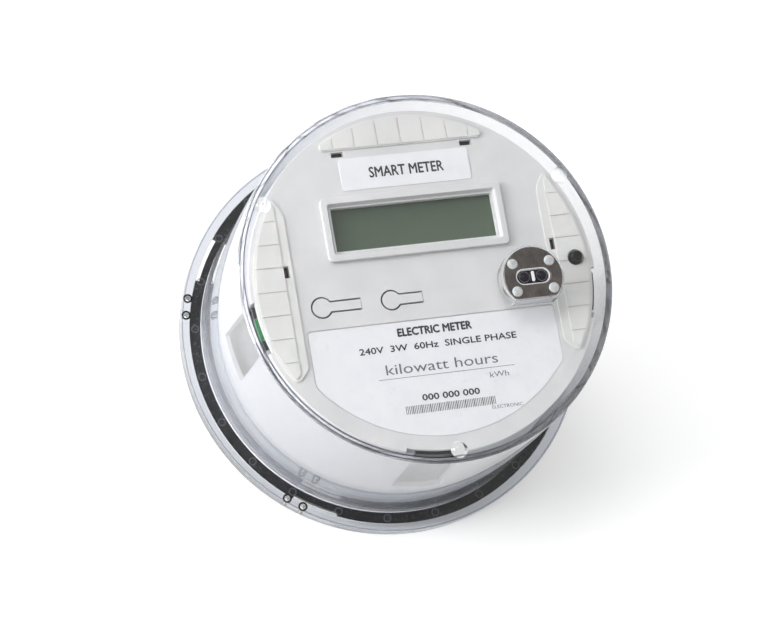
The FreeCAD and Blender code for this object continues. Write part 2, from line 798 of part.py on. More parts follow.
def make_components():
    """Large components on the metering board."""
    front = "metering_board_front"
    piece("power_transformer", block("transformer_width", "transformer_height", "transformer_depth",
                                     "transformer_right", "transformer_up", front))
    piece("filter_capacitors", *[
        rod("capacitor_radius", "capacitor_length", f"transformer_right + {step} * capacitor_step",
            "capacitor_up", front) for step in (-1, 0, 1)])
    piece("surge_varistors", *[
        rod("varistor_radius", "varistor_thick", f"{side} * varistor_right - varistor_thick / 2",
            "varistor_up", f"{front} + varistor_radius", Y_AXIS, 90) for side in (LEFT, RIGHT)])
    piece("backup_capacitor", rod("backup_radius", "backup_length", "backup_right", "backup_up", front))
    piece("metering_chip", block("chip_side", "chip_side", "chip_thick", "chip_right", "chip_up", front))
    piece("radio_shield", block("shield_width", "shield_height", "shield_depth", "shield_right",
                                "shield_up", front))
    piece("antenna_strip", block("antenna_thick", "antenna_length", "antenna_depth", "antenna_right", 0,
                                 front))


# ---------------------------------------------------------------- blades, current bars and sensors
def make_conductors():
    """Four blades through the base, pinned behind it, each with its bar running into the switch."""
    pins = []
    for side, up in BLADES:
        name = f"{BLADE_NAMES[up]}_blade_{SIDE_NAMES[side]}"
        centre = (f"{side} * blade_right", f"{up} * blade_up")
        blade = block("blade_thick", "blade_width", "blade_head + blade_length", *centre, "0 - blade_length")
        hole = rod("pin_radius + pin_gap", "2 * blade_thick", f"{centre[0]} - blade_thick", centre[1],
                   "floor_rear - pin_radius", Y_AXIS, 90)
        piece(name, cut(blade, hole))
        pins.append(rod("pin_radius", "pin_length", f"{centre[0]} - pin_length / 2", centre[1],
                        "floor_rear - pin_radius", Y_AXIS, 90))
    piece("blade_pins", *pins)
    for side, up in BLADES:
        inner_end = "line_bar_end" if up > 0 else "load_bar_end"
        bar = block("bar_thick", f"bar_outer_end - {inner_end}", "bar_depth",
                    f"{side} * (bar_outer + bar_inner) / 2", f"{up} * (bar_outer_end + {inner_end}) / 2",
                    "bar_rear")
        end = fixed_contact(side) if up > 0 else arm_spacer(side)
        piece(f"{BLADE_NAMES[up]}_bar_{SIDE_NAMES[side]}", fuse(bar, end))


def fixed_contact(side):
    """Round contact on a line bar's inner face."""
    rear = "contact_face" if side == RIGHT else "0 - bar_inner"
    return rod("contact_radius", "contact_thick", rear, "contact_up", "bar_middle", Y_AXIS, 90)


def arm_spacer(side):
    """Block on a load bar's inner face, which brings the current to a contact arm's tail."""
    thick = "bar_inner - arm_outer - arm_root_gap"
    height = "case_height / 2 - case_wall - load_bar_end"
    return block(thick, height, "arm_depth", f"{side} * (bar_inner - ({thick}) / 2)",
                 f"0 - load_bar_end - ({height}) / 2", "arm_rear")


def make_sensors():
    """A toroidal current sensor about each load bar, below the switch."""
    for side in (LEFT, RIGHT):
        middle = f"{side} * (bar_outer + bar_inner) / 2"
        rear = "0 - sensor_up + sensor_length / 2"
        core = rod("sensor_radius", "sensor_length", middle, rear, "bar_middle", X_AXIS, 90)
        bore = rod("sensor_bore", "sensor_length", middle, rear, "bar_middle", X_AXIS, 90)
        piece(f"current_sensor_{SIDE_NAMES[side]}", cut(core, bore))


# ---------------------------------------------------------------- service switch
def make_switch():
    """Case on the base floor, its lid, the coil, the slider and two contact arms that the slider swings."""
    height = "case_depth - case_wall"
    shell = cut(block("case_width", "case_height", height, 0, 0, "case_rear"),
                block("case_width - 2 * case_wall", "case_height - 2 * case_wall", height, 0, 0,
                      "case_rear + case_wall"))
    passages = [block("bar_thick + 2 * blade_gap", "3 * case_wall", "lid_rear - bar_rear + blade_gap",
                      f"{side} * (bar_outer + bar_inner) / 2", f"{up} * case_height / 2",
                      "bar_rear - blade_gap") for side, up in BLADES]
    pivots = [rod("pivot_radius", "arm_front - case_rear", f"{side} * arm_middle", "0 - arm_hinge_down",
                  "case_rear") for side in (LEFT, RIGHT)]
    piece("switch_case", fuse(cut(shell, *passages), *pivots))
    piece("switch_lid", block("case_width", "case_height", "case_wall", 0, 0, "lid_rear"))
    for side in (LEFT, RIGHT):
        piece(f"contact_arm_{SIDE_NAMES[side]}", contact_arm(side))
    make_slider()


def contact_arm(side):
    """Thin arm with its contact at the tip, a barrel on the pivot and a pin in the slider's slot."""
    middle = f"{side} * arm_middle"
    length = "arm_up + arm_hinge_down + arm_tail"
    plate = block("arm_thick", length, "arm_depth", middle, "(arm_up - arm_hinge_down - arm_tail) / 2",
                  "arm_rear")
    barrel = rod("pivot_barrel", "arm_depth", middle, "0 - arm_hinge_down", "arm_rear")
    bore = rod("pivot_radius + pin_gap", "arm_depth", middle, "0 - arm_hinge_down", "arm_rear")
    start = "arm_outer" if side == RIGHT else "0 - arm_outer - contact_thick"
    contact = rod("contact_radius", "contact_thick", start, "contact_up", "bar_middle", Y_AXIS, 90)
    pin = rod("arm_pin_radius", "slider_front - arm_rear", middle, "arm_pin_up", "arm_rear")
    return cut(fuse(plate, barrel, contact, pin), bore)


def slanted_slot(side):
    """Slot that carries an arm's pin inwards as the slider is drawn down."""
    radius = size("arm_pin_radius + arm_pin_gap")
    depth = size("slider_thick")
    inward = size("(arm_pin_up + arm_hinge_down) * sin(open_angle)")
    start = App.Vector(side * size("arm_middle"), size("arm_pin_up"), size("slider_rear"))
    end = start + App.Vector(-side * inward, size("slider_travel"), 0)
    run = end - start
    across = App.Vector(-run.y, run.x, 0).normalize() * radius
    corners = [start + across, end + across, end - across, start - across, start + across]
    middle = Part.Face(Part.makePolygon(corners)).extrude(Z_AXIS * depth)
    ends = [Part.makeCylinder(radius, depth, centre) for centre in (start, end)]
    tool = doc.addObject("Part::Feature", "slanted_slot")
    tool.Shape = middle.multiFuse(ends)
    return tool


def make_slider():
    """Slider plate with its armature rod, and the coil that draws it."""
    plate = block("slider_width", "slider_height", "slider_thick", 0, "slider_up", "slider_rear")
    tab_up = "slider_up - slider_height / 2 + tab_thick / 2"
    tab = block("tab_width", "tab_thick", "slider_front - rod_forward + rod_radius", 0, tab_up,
                "rod_forward - rod_radius")
    armature = rod("rod_radius", "rod_length", 0, tab_up, "rod_forward", X_AXIS, 90)
    slots = [slanted_slot(side) for side in (LEFT, RIGHT)]
    piece("switch_slider", cut(fuse(plate, tab, armature), *slots))
    winding = rod("coil_radius", "coil_length", 0, "0 - coil_end", "rod_forward", X_AXIS, 90)
    flanges = [rod("coil_radius + coil_flange / 2", "coil_flange", 0, f"0 - coil_end - ({inset})",
                   "rod_forward", X_AXIS, 90) for inset in (0, "coil_length - coil_flange")]
    bore = rod("coil_bore", "coil_length", 0, "0 - coil_end", "rod_forward", X_AXIS, 90)
    piece("solenoid_coil", cut(fuse(winding, *flanges), bore))


# ---------------------------------------------------------------- build, check and write
def check_document():
    """Stop if any object failed, or if a finished piece has no valid shape."""
    failed = [thing.Label for thing in doc.Objects if {"Invalid", "Error"} & set(thing.State)]
    if failed:
        raise RuntimeError(f"objects that failed: {failed}")
    for whole in pieces:
        if whole.Shape.isNull() or not whole.Shape.isValid() or not whole.Shape.Solids:
            raise RuntimeError(f"{whole.Label} has no valid shape")


def write_pieces():
    """Write each finished piece to a file of its own."""
    os.makedirs("parts", exist_ok=True)
    for whole in pieces:
        whole.Shape.exportStep(f"parts/{whole.Label}.step")


for make in (make_cover, make_port, make_base, make_shroud, make_frame, make_face, make_labels, make_display,
             make_buttons, make_plunger, make_optics, make_boards, make_components, make_conductors,
             make_sensors, make_switch):
    make()
doc.recompute()
check_document()
write_pieces()
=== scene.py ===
"""Socket electricity meter: clear twist-off cover, white face, display, labels and black base.

Each piece is drawn in the meter's own millimetres: x to the right, y up and z forward from the
seat. ROW turns a finished piece so that its front faces -Y and its top +Z, in metres.
"""
import logging
import math
from dataclasses import dataclass
from enum import Enum
from typing import Iterable, Sequence

import bmesh
import bpy
from mathutils import Matrix, Vector


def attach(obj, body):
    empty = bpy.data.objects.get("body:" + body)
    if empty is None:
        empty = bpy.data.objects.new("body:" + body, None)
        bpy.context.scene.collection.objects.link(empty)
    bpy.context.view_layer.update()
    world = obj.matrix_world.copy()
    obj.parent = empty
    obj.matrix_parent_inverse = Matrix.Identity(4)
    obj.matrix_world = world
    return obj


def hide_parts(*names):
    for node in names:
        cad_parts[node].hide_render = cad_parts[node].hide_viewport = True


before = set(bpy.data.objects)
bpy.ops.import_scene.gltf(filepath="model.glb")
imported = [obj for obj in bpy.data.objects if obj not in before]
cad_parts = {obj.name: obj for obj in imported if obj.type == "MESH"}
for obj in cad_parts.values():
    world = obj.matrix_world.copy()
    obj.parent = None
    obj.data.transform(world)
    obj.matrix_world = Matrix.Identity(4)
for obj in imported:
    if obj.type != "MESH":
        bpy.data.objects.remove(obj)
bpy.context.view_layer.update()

MM = 0.001
ROW = Matrix.Rotation(math.radians(90), 4, "X") @ Matrix.Scale(MM, 4)
SMOOTH_UNDER = math.radians(32)
SHARP_TURN = math.radians(25)
TOUCH = 0.05
SIDES = (-1, 1)
CORNERS = tuple((side, level) for side in SIDES for level in SIDES)
log = logging.getLogger("meter")

Pair = tuple[float, float]
Triple = tuple[float, float, float]


def tint(red: float, green: float, blue: float) -> tuple[float, float, float, float]:
    """Turn a colour as seen on a screen, 0 to 255, into the linear colour that a shader takes.

    Args:
        red: Red part, 0 to 255.
        green: Green part, 0 to 255.
        blue: Blue part, 0 to 255.

    Returns:
        Linear red, green, blue and an alpha of 1.
    """
    parts = [value / 255 for value in (red, green, blue)]
    linear = [p / 12.92 if p <= 0.04045 else ((p + 0.055) / 1.055) ** 2.4 for p in parts]
    return linear[0], linear[1], linear[2], 1.0


# ---------------------------------------------------------------- finishes
class Recipe:
    """A material's node tree, with short calls that add and join its nodes."""

    def __init__(self, name: str) -> None:
        """Start an empty material.

        Args:
            name: Name of the material.
        """
        self.material = bpy.data.materials.new(name)
        self.material.use_nodes = True
        self.tree = self.material.node_tree
        self.tree.nodes.clear()
        self.out = self.add("OutputMaterial")
        self.coords = self.add("TexCoord").outputs["Object"]

    def add(self, kind: str, inputs: dict | None = None, **settings: object) -> bpy.types.Node:
        """Add one node.

        Args:
            kind: Node type without its ShaderNode prefix.
            inputs: Input name or number to a value, or to an output socket that feeds it.
            settings: Plain properties of the node.

        Returns:
            The new node.
        """
        node = self.tree.nodes.new("ShaderNode" + kind)
        for key, value in settings.items():
            setattr(node, key, value)
        for key, value in (inputs or {}).items():
            if isinstance(value, bpy.types.NodeSocket):
                self.tree.links.new(value, node.inputs[key])
            else:
                node.inputs[key].default_value = value
        return node

    def spread(self, stretch: Triple = (1, 1, 1), place: Triple = (0, 0, 0)) -> bpy.types.NodeSocket:
        """Object coordinates, scaled along the row frame's axes and then shifted in metres."""
        mapping = self.add("Mapping", {"Vector": self.coords, "Scale": stretch, "Location": place})
        return mapping.outputs["Vector"]

    def noise(self, size: float, detail: float = 3, stretch: Triple = (1, 1, 1)) -> bpy.types.NodeSocket:
        """Noise with features of a given size.

        Args:
            size: Size of a feature in millimetres.
            detail: Octaves of finer noise.
            stretch: Scale along each axis of the row frame.

        Returns:
            The noise value, 0 to 1.
        """
        node = self.add("TexNoise", {"Vector": self.spread(stretch), "Scale": 1 / (size * MM),
                                     "Detail": detail, "Roughness": 0.55})
        return node.outputs["Fac"]

    def ranged(self, value: bpy.types.NodeSocket, low: float, high: float,
               start: float = 0.3, end: float = 0.7) -> bpy.types.NodeSocket:
        """Spread a value between two new limits.

        Args:
            value: The value to spread.
            low: Result at start.
            high: Result at end.
            start: Lowest incoming value.
            end: Highest incoming value.

        Returns:
            The new value.
        """
        node = self.add("MapRange", {"Value": value, "From Min": start, "From Max": end,
                                     "To Min": low, "To Max": high})
        return node.outputs["Result"]

    def blend(self, factor: bpy.types.NodeSocket, first: object,
              second: object) -> bpy.types.NodeSocket:
        """Mix two colours or sockets: a factor of 0 gives the first and 1 the second."""
        node = self.add("Mix", {0: factor, 6: first, 7: second}, data_type="RGBA")
        return node.outputs[2]

    def calc(self, operation: str, *values: object) -> bpy.types.NodeSocket:
        """Work out one sum of values or sockets and return its result."""
        return self.add("Math", dict(enumerate(values)), operation=operation).outputs[0]

    def bump(self, height: bpy.types.NodeSocket, strength: float, depth: float,
             under: bpy.types.NodeSocket | None = None) -> bpy.types.NodeSocket:
        """Bump from a height.

        Args:
            height: Height, 0 to 1.
            strength: Strength, 0 to 1.
            depth: Depth in millimetres.
            under: A coarser bump that this one lies on.

        Returns:
            The new normal.
        """
        inputs = {"Height": height, "Strength": strength, "Distance": depth * MM}
        if under is not None:
            inputs["Normal"] = under
        return self.add("Bump", inputs).outputs["Normal"]

    def close(self, shader: bpy.types.Node) -> bpy.types.Material:
        """Join the last shader to the output and return the material."""
        self.tree.links.new(shader.outputs[0], self.out.inputs["Surface"])
        return self.material


class Finish:
    """Base of all finishes: each makes its material once and hands out the same one after that."""

    made = {}

    def mix(self, recipe: Recipe) -> bpy.types.Node:
        """Add this finish's nodes and return the last shader."""
        raise NotImplementedError

    def material(self) -> bpy.types.Material:
        """The material of this finish."""
        if self.name not in Finish.made:
            recipe = Recipe(self.name)
            Finish.made[self.name] = recipe.close(self.mix(recipe))
        return Finish.made[self.name]


@dataclass(frozen=True)
class Moulded(Finish):
    """Moulded plastic or rubber: faint flow mottling, spark-eroded grain and uneven gloss."""

    name: str
    colour: tuple
    shade: tuple
    gloss: float = 0.45
    grain: float = 0.35
    grain_depth: float = 0.02
    mottle: float = 14.0
    glow: float = 0.0
    specks: float = 0.0
    speck_glint_colour: tuple = (1, 1, 1, 1)
    shine: float = 0.5

    def mix(self, recipe: Recipe) -> bpy.types.Node:
        """Add the plastic's nodes and return its shader."""
        flow = recipe.ranged(recipe.noise(self.mottle, 4), 0, 1, 0.35, 0.65)
        colour = recipe.blend(flow, self.colour, self.shade)
        # Light specks: part the base's speckled plastic, part painted glints.
        if self.specks:
            cells = recipe.add("TexVoronoi", {"Vector": recipe.coords, "Scale": 1 / (self.specks * MM)})
            chosen = recipe.ranged(cells.outputs["Color"], 0, 1, 0.5, 0.56)
            near = recipe.ranged(cells.outputs["Distance"], 1, 0, 0.16, 0.3)
            speck_glints = recipe.calc("MULTIPLY", chosen, near)
            colour = recipe.blend(speck_glints, colour, self.speck_glint_colour)
        fine = recipe.noise(self.grain, 2)
        normal = recipe.bump(fine, 0.5, self.grain_depth)
        rough = recipe.ranged(recipe.noise(self.mottle / 3, 3), self.gloss - 0.06, self.gloss + 0.06)
        return recipe.add("BsdfPrincipled", {
            "Base Color": colour, "Roughness": rough, "Normal": normal, "Specular IOR Level": self.shine,
            "Subsurface Weight": self.glow, "Subsurface Scale": 0.8 * MM})


@dataclass(frozen=True)
class ClearMoulded(Finish):
    """Clear moulded plastic with faint waves in its surface, with painted shade at its rim, on faces seen at
    a grazing angle and in thin lines at its front corner. It lets light through for shadows.
    """

    name: str
    colour: tuple = (0.96, 0.966, 0.972, 1.0)
    # Painted shade: edge darkens faces seen at a grazing angle, standing in for dark surroundings seen
    # through the clear plastic.
    edge: tuple = (0.66, 0.69, 0.72, 1.0)
    index: float = 1.46
    # Painted shade: rim darkens the clear rim beyond rim_from.
    rim: tuple = (0.62, 0.64, 0.68, 1.0)
    rim_from: float = 83.9
    wave: float = 9.0
    wave_depth: float = 0.012
    # Painted shade: thin dark lines at the front corner's bends, weaker towards the right.
    lines: tuple = (75.4, 76.95)
    line_half: float = 0.36
    line_fade: float = 0.15
    lines_from: float = 91.8
    painted_line_shade: tuple = (0.09, 0.09, 0.12, 1.0)

    def painted_dark_lines(self, recipe: Recipe, reach: bpy.types.NodeSocket) -> bpy.types.NodeSocket:
        """Painted shade: thin dark lines where the front corner bends, weaker towards the right.

        Args:
            recipe: The material in the making.
            reach: Distance from the meter's axis.

        Returns:
            1 on a line and 0 elsewhere.
        """
        split = recipe.add("SeparateXYZ", {"Vector": recipe.coords})
        mask = recipe.ranged(split.outputs["Y"], 1, 0, -self.lines_from * MM - 1e-4, -self.lines_from * MM)
        total = None
        for radius in self.lines:
            off = recipe.calc("SUBTRACT", reach, radius * MM)
            off = recipe.calc("ABSOLUTE", off)
            line = recipe.ranged(off, 1, 0, self.line_half * 0.5 * MM, self.line_half * MM)
            total = line if total is None else recipe.calc("ADD", total, line)
        fade = recipe.ranged(split.outputs["X"], 1, self.line_fade, 0, 60 * MM)
        total = recipe.calc("MULTIPLY", total, fade)
        return recipe.calc("MULTIPLY", total, mask)

    def mix(self, recipe: Recipe) -> bpy.types.Node:
        """Add the clear plastic's nodes and return its shader."""
        normal = recipe.bump(recipe.noise(self.wave, 2), 0.25, self.wave_depth)
        rough = recipe.ranged(recipe.noise(3, 4), 0.01, 0.05)
        slant = recipe.add("LayerWeight", {"Blend": 0.5})
        flat = recipe.add("VectorMath", {0: recipe.coords, 1: (1, 0, 1)}, operation="MULTIPLY")
        reach = recipe.add("VectorMath", {0: flat.outputs["Vector"]}, operation="LENGTH").outputs["Value"]
        # Painted shade: darker beyond rim_from.
        body = recipe.blend(recipe.ranged(reach, 0, 1, self.rim_from * MM, (self.rim_from + 0.3) * MM),
                            self.colour, self.rim)
        # Painted shade: darker on faces seen at a grazing angle.
        colour = recipe.blend(recipe.ranged(slant.outputs["Facing"], 0, 1, 0.6, 0.9), body, self.edge)
        # Painted shade: thin dark lines at the front corner.
        colour = recipe.blend(self.painted_dark_lines(recipe, reach), colour, self.painted_line_shade)
        solid = recipe.add("BsdfPrincipled", {
            "Base Color": colour, "Roughness": rough, "Normal": normal, "IOR": self.index,
            "Transmission Weight": 1.0})
        passing = recipe.add("BsdfTransparent", {"Color": self.colour})
        path = recipe.add("LightPath")
        return recipe.add("MixShader", {0: path.outputs["Is Shadow Ray"], 1: solid.outputs[0],
                                        2: passing.outputs[0]})


class Brush(Enum):
    """Direction in which a metal surface is worked, as a stretch of its grain."""

    ACROSS = (0.06, 1.0, 1.0)
    UPRIGHT = (1.0, 1.0, 0.06)
    FORWARD = (1.0, 0.06, 1.0)
    CAST = (1.0, 1.0, 1.0)


@dataclass(frozen=True)
class Metal(Finish):
    """Worked or plated metal: drawn grain, darker stains and uneven gloss."""

    name: str
    colour: tuple
    stain: tuple
    gloss: float = 0.3
    brush: Brush = Brush.CAST
    grain: float = 0.12
    grain_depth: float = 0.012

    def mix(self, recipe: Recipe) -> bpy.types.Node:
        """Add the metal's nodes and return its shader."""
        grain = recipe.noise(self.grain, 3, self.brush.value)
        cloud = recipe.ranged(recipe.noise(5, 4), 0, 1, 0.35, 0.7)
        normal = recipe.bump(grain, 0.45, self.grain_depth)
        rough = recipe.ranged(grain, self.gloss - 0.08, self.gloss + 0.12)
        return recipe.add("BsdfPrincipled", {
            "Base Color": recipe.blend(cloud, self.colour, self.stain), "Metallic": 1.0,
            "Roughness": rough, "Normal": normal})


@dataclass(frozen=True)
class PrintedBoard(Finish):
    """Printed circuit board: green mask over tracks, with tinned pads in rows."""

    name: str = "board_green_mask"
    mask: tuple = tint(38, 112, 70)
    track: tuple = tint(74, 150, 98)
    pad: tuple = tint(190, 192, 186)
    track_pitch: float = 2.4

    def mix(self, recipe: Recipe) -> bpy.types.Node:
        """Add the board's nodes and return its shader."""
        lanes = recipe.add("TexBrick", {
            "Vector": recipe.spread((1, 1, 1)), "Scale": 1 / (self.track_pitch * MM),
            "Color1": (0, 0, 0, 1), "Color2": (0.25, 0.25, 0.25, 1), "Mortar": (1, 1, 1, 1),
            "Mortar Size": 0.06, "Brick Width": 1.9, "Row Height": 0.5})
        cells = recipe.add("TexVoronoi", {"Vector": recipe.coords, "Scale": 1 / (2.2 * MM)})
        pads = recipe.ranged(cells.outputs["Distance"], 1, 0, 0.16, 0.2)
        colour = recipe.blend(lanes.outputs["Color"], self.mask, self.track)
        colour = recipe.blend(pads, colour, self.pad)
        normal = recipe.bump(lanes.outputs["Color"], 0.4, 0.04)
        rough = recipe.ranged(recipe.noise(2), 0.25, 0.4)
        return recipe.add("BsdfPrincipled", {"Base Color": colour, "Roughness": rough, "Normal": normal})


@dataclass(frozen=True)
class CrystalCell(Finish):
    """Unlit liquid crystal cell: grey-green film under glass, with the bezel's shadow painted darker near its
    top edge.
    """

    name: str = "crystal_cell"
    colour: tuple = tint(88, 99, 85)
    # shade: the painted bezel shadow at the top, and the tone of the random veil.
    shade: tuple = tint(77, 87, 74)
    middle_up: float = 24.4
    half_height: float = 9.2

    def mix(self, recipe: Recipe) -> bpy.types.Node:
        """Add the cell's nodes and return its shader."""
        split = recipe.add("SeparateXYZ", {"Vector": recipe.coords})
        # Painted shadow of the bezel: the film darkens towards its top edge.
        up = recipe.ranged(split.outputs["Z"], 0, 1, (self.middle_up - self.half_height) * MM,
                           (self.middle_up + self.half_height) * MM)
        film = recipe.blend(up, self.colour, self.shade)
        veil = recipe.ranged(recipe.noise(0.5, 2, (1, 1, 3)), 0, 0.12)
        colour = recipe.blend(veil, film, self.shade)
        normal = recipe.bump(recipe.noise(0.3, 1), 0.1, 0.005)
        rough = recipe.ranged(recipe.noise(6, 3), 0.16, 0.26)
        return recipe.add("BsdfPrincipled", {"Base Color": colour, "Roughness": rough, "Normal": normal,
                                             "Specular IOR Level": 0.2})


@dataclass(frozen=True)
class Winding(Finish):
    """Enamelled wire or tape wound in close turns."""

    name: str
    colour: tuple
    shade: tuple
    pitch: float = 0.5
    along: str = "Z"

    def mix(self, recipe: Recipe) -> bpy.types.Node:
        """Add the winding's nodes and return its shader."""
        turns = recipe.add("TexWave", {"Vector": recipe.coords, "Scale": 0.314 / (self.pitch * MM),
                                       "Distortion": 0.6, "Detail": 1},
                           bands_direction=self.along)
        colour = recipe.blend(turns.outputs["Fac"], self.shade, self.colour)
        normal = recipe.bump(turns.outputs["Fac"], 0.8, self.pitch / 3)
        rough = recipe.ranged(recipe.noise(2), 0.25, 0.42)
        return recipe.add("BsdfPrincipled", {"Base Color": colour, "Roughness": rough, "Normal": normal,
                                             "Coat Weight": 0.2})


CLEAR = ClearMoulded("clear_polycarbonate")
MILKY_RIVET = Moulded("milky_rivet", tint(206, 207, 208), tint(178, 180, 182), gloss=0.12, mottle=1.2,
                      glow=0.35, shine=0.9)
FACE_WHITE = Moulded("white_face", tint(208, 207, 207), tint(201, 201, 201), gloss=0.42, glow=0.08)
RIB_WHITE = Moulded("white_ribs", tint(214, 213, 210), tint(207, 206, 204), gloss=0.45, glow=0.08)
# Darker than the face's white: painted shade that holds down the key lamp's light on the shroud's side.
SHROUD_WHITE = Moulded("white_shroud", tint(162, 163, 169), tint(155, 156, 163), gloss=0.4, glow=0.1)
FRAME_GREY = Moulded("grey_frame", tint(84, 84, 92), tint(76, 76, 84), gloss=0.5)
# Its light specks are partly speckled plastic and partly painted glints.
BASE_BLACK = Moulded("black_base", tint(10, 10, 11), tint(22, 22, 24), gloss=0.36, mottle=4.0, grain=0.8,
                     grain_depth=0.15, specks=1.3, speck_glint_colour=tint(84, 85, 88), shine=0.2)
STEM_BLACK = Moulded("plunger_black", tint(13, 13, 14), tint(18, 18, 19), gloss=0.3, mottle=2.0, shine=0.2)
PART_BLACK = Moulded("black_part", tint(34, 33, 35), tint(26, 25, 27), gloss=0.34, mottle=3.0)
# Near white: painted light, so the gasket in shade under the clear wall reads as a bright ring through it.
RUBBER = Moulded("gasket_rubber", tint(236, 237, 242), tint(224, 225, 231), gloss=0.6, grain=0.2)
ELASTOMER = Moulded("contact_elastomer", tint(206, 150, 140), tint(120, 70, 66), gloss=0.6, mottle=0.3)
GUIDE_PLASTIC = Moulded("light_guide", tint(232, 236, 226), tint(222, 228, 214), gloss=0.25, glow=0.3)
DIVIDER_WHITE = Moulded("divider_white", tint(238, 238, 238), tint(228, 228, 228), gloss=0.35)
SENSOR_CASE = Moulded("sensor_case", tint(52, 84, 150), tint(42, 70, 130), gloss=0.3, mottle=4.0)
SLEEVE = Moulded("capacitor_sleeve", tint(34, 40, 66), tint(26, 30, 52), gloss=0.25, mottle=2.0)
VARISTOR_BLUE = Moulded("varistor_coat", tint(48, 96, 168), tint(38, 80, 148), gloss=0.22, mottle=1.5)
SLIDER_PLASTIC = Moulded("slider_plastic", tint(214, 204, 178), tint(202, 190, 162), gloss=0.4)
LABEL_STOCK = Moulded("label_stock", tint(224, 224, 226), tint(220, 220, 223), gloss=0.32, grain=0.15,
                      grain_depth=0.008, mottle=6.0)
INK = Moulded("black_ink", tint(28, 28, 30), tint(36, 36, 38), gloss=0.5, grain=0.1, grain_depth=0.004,
              mottle=1.0)
GREY_INK = Moulded("grey_ink", tint(92, 92, 96), tint(102, 102, 106), gloss=0.5, grain=0.1,
                   grain_depth=0.004, mottle=1.0)
INFRARED = Moulded("infrared_lens", tint(24, 22, 30), tint(34, 28, 40), gloss=0.1, mottle=2.0,
                   grain_depth=0.002)
STAINLESS = Metal("stainless_plate", tint(132, 126, 122), tint(110, 105, 102), gloss=0.3, brush=Brush.UPRIGHT)
ZINC = Metal("zinc_screws", tint(196, 198, 204), tint(164, 166, 172), gloss=0.32)
TINNED = Metal("tinned_copper", tint(206, 208, 210), tint(176, 176, 176), gloss=0.28, brush=Brush.FORWARD)
COPPER = Metal("bare_copper", tint(206, 132, 92), tint(168, 96, 64), gloss=0.32, brush=Brush.UPRIGHT)
SHIELD = Metal("shield_can", tint(190, 192, 196), tint(168, 170, 172), gloss=0.3)
CORE = Metal("transformer_core", tint(110, 112, 118), tint(82, 84, 90), gloss=0.42, brush=Brush.ACROSS,
             grain=0.5, grain_depth=0.15)
BOARD = PrintedBoard()
CELL = CrystalCell()
COIL = Winding("coil_winding", tint(190, 96, 48), tint(96, 40, 18), along="Y")
TAPE = Winding("winding_tape", tint(214, 170, 60), tint(176, 132, 40), pitch=3.0)


# ---------------------------------------------------------------- shapes
@dataclass(frozen=True)
class Outline:
    """A closed flat outline: a rounded box, or a disc, trimmed by straight cuts.

    A cut is (x, y, nx, ny): a point on its line, and the side that is cut away.
    """

    width: float = 0.0
    height: float = 0.0
    x: float = 0.0
    y: float = 0.0
    radius: float = 0.0
    corner: float = 0.0
    cuts: tuple = ()
    steps: int = 96

    def draw(self, bm: bmesh.types.BMesh, forward: float = 0.0, keep_face: bool = True) -> list:
        """Draw the outline into a bmesh.

        Args:
            bm: Where to draw.
            forward: Height of the outline above the seat.
            keep_face: Whether the face stays, or only its edges.

        Returns:
            The new edges.
        """
        old = set(bm.verts)
        place = Matrix.Translation((self.x, self.y, forward))
        if self.radius:
            bmesh.ops.create_circle(bm, cap_ends=True, radius=self.radius, segments=self.steps,
                                    matrix=place)
        else:
            shape = Matrix.Diagonal((self.width / 2, self.height / 2, 1, 1))
            bmesh.ops.create_grid(bm, x_segments=1, y_segments=1, size=1, matrix=place @ shape)
        for x, y, nx, ny in self.cuts:
            mine = [v for v in bm.verts if v not in old]
            geom = mine + [e for e in bm.edges if e.verts[0] not in old]
            geom += [f for f in bm.faces if f.verts[0] not in old]
            bmesh.ops.bisect_plane(bm, geom=geom, dist=1e-5, plane_co=(x, y, forward),
                                   plane_no=(nx, ny, 0), clear_outer=True)
        if self.corner:
            sharp = self.clear_corners(bm, old)
            bmesh.ops.bevel(bm, geom=sharp, offset=self.corner, offset_type="OFFSET", segments=6,
                            clamp_overlap=True, profile=0.5, affect="VERTICES", material=-1)
        faces = [f for f in bm.faces if f.verts[0] not in old]
        edges = [e for e in bm.edges if e.verts[0] not in old]
        if not keep_face:
            bmesh.ops.delete(bm, geom=faces, context="FACES_ONLY")
        return edges

    def clear_corners(self, bm: bmesh.types.BMesh, old: set) -> list:
        """Take away vertices that crowd a corner, so that it can be rounded.

        Args:
            bm: Holds the outline's face.
            old: Vertices that belong to other outlines.

        Returns:
            The outline's corners.
        """
        while True:
            sharp = [v for v in bm.verts if v not in old and turn_at(v) > SHARP_TURN]
            crowd = {e.other_vert(v) for v in sharp for e in v.link_edges
                     if e.calc_length() < self.corner * 1.05} - set(sharp)
            if not crowd:
                return sharp
            bmesh.ops.dissolve_verts(bm, verts=list(crowd))


def turn_at(vert: bmesh.types.BMVert) -> float:
    """Angle by which an outline turns at one of its vertices.

    Args:
        vert: A vertex with two edges.

    Returns:
        The angle in radians, 0 where the outline runs straight.
    """
    if len(vert.link_edges) != 2:
        return 0.0
    first, second = (e.other_vert(vert).co - vert.co for e in vert.link_edges)
    return math.pi - first.angle(second)


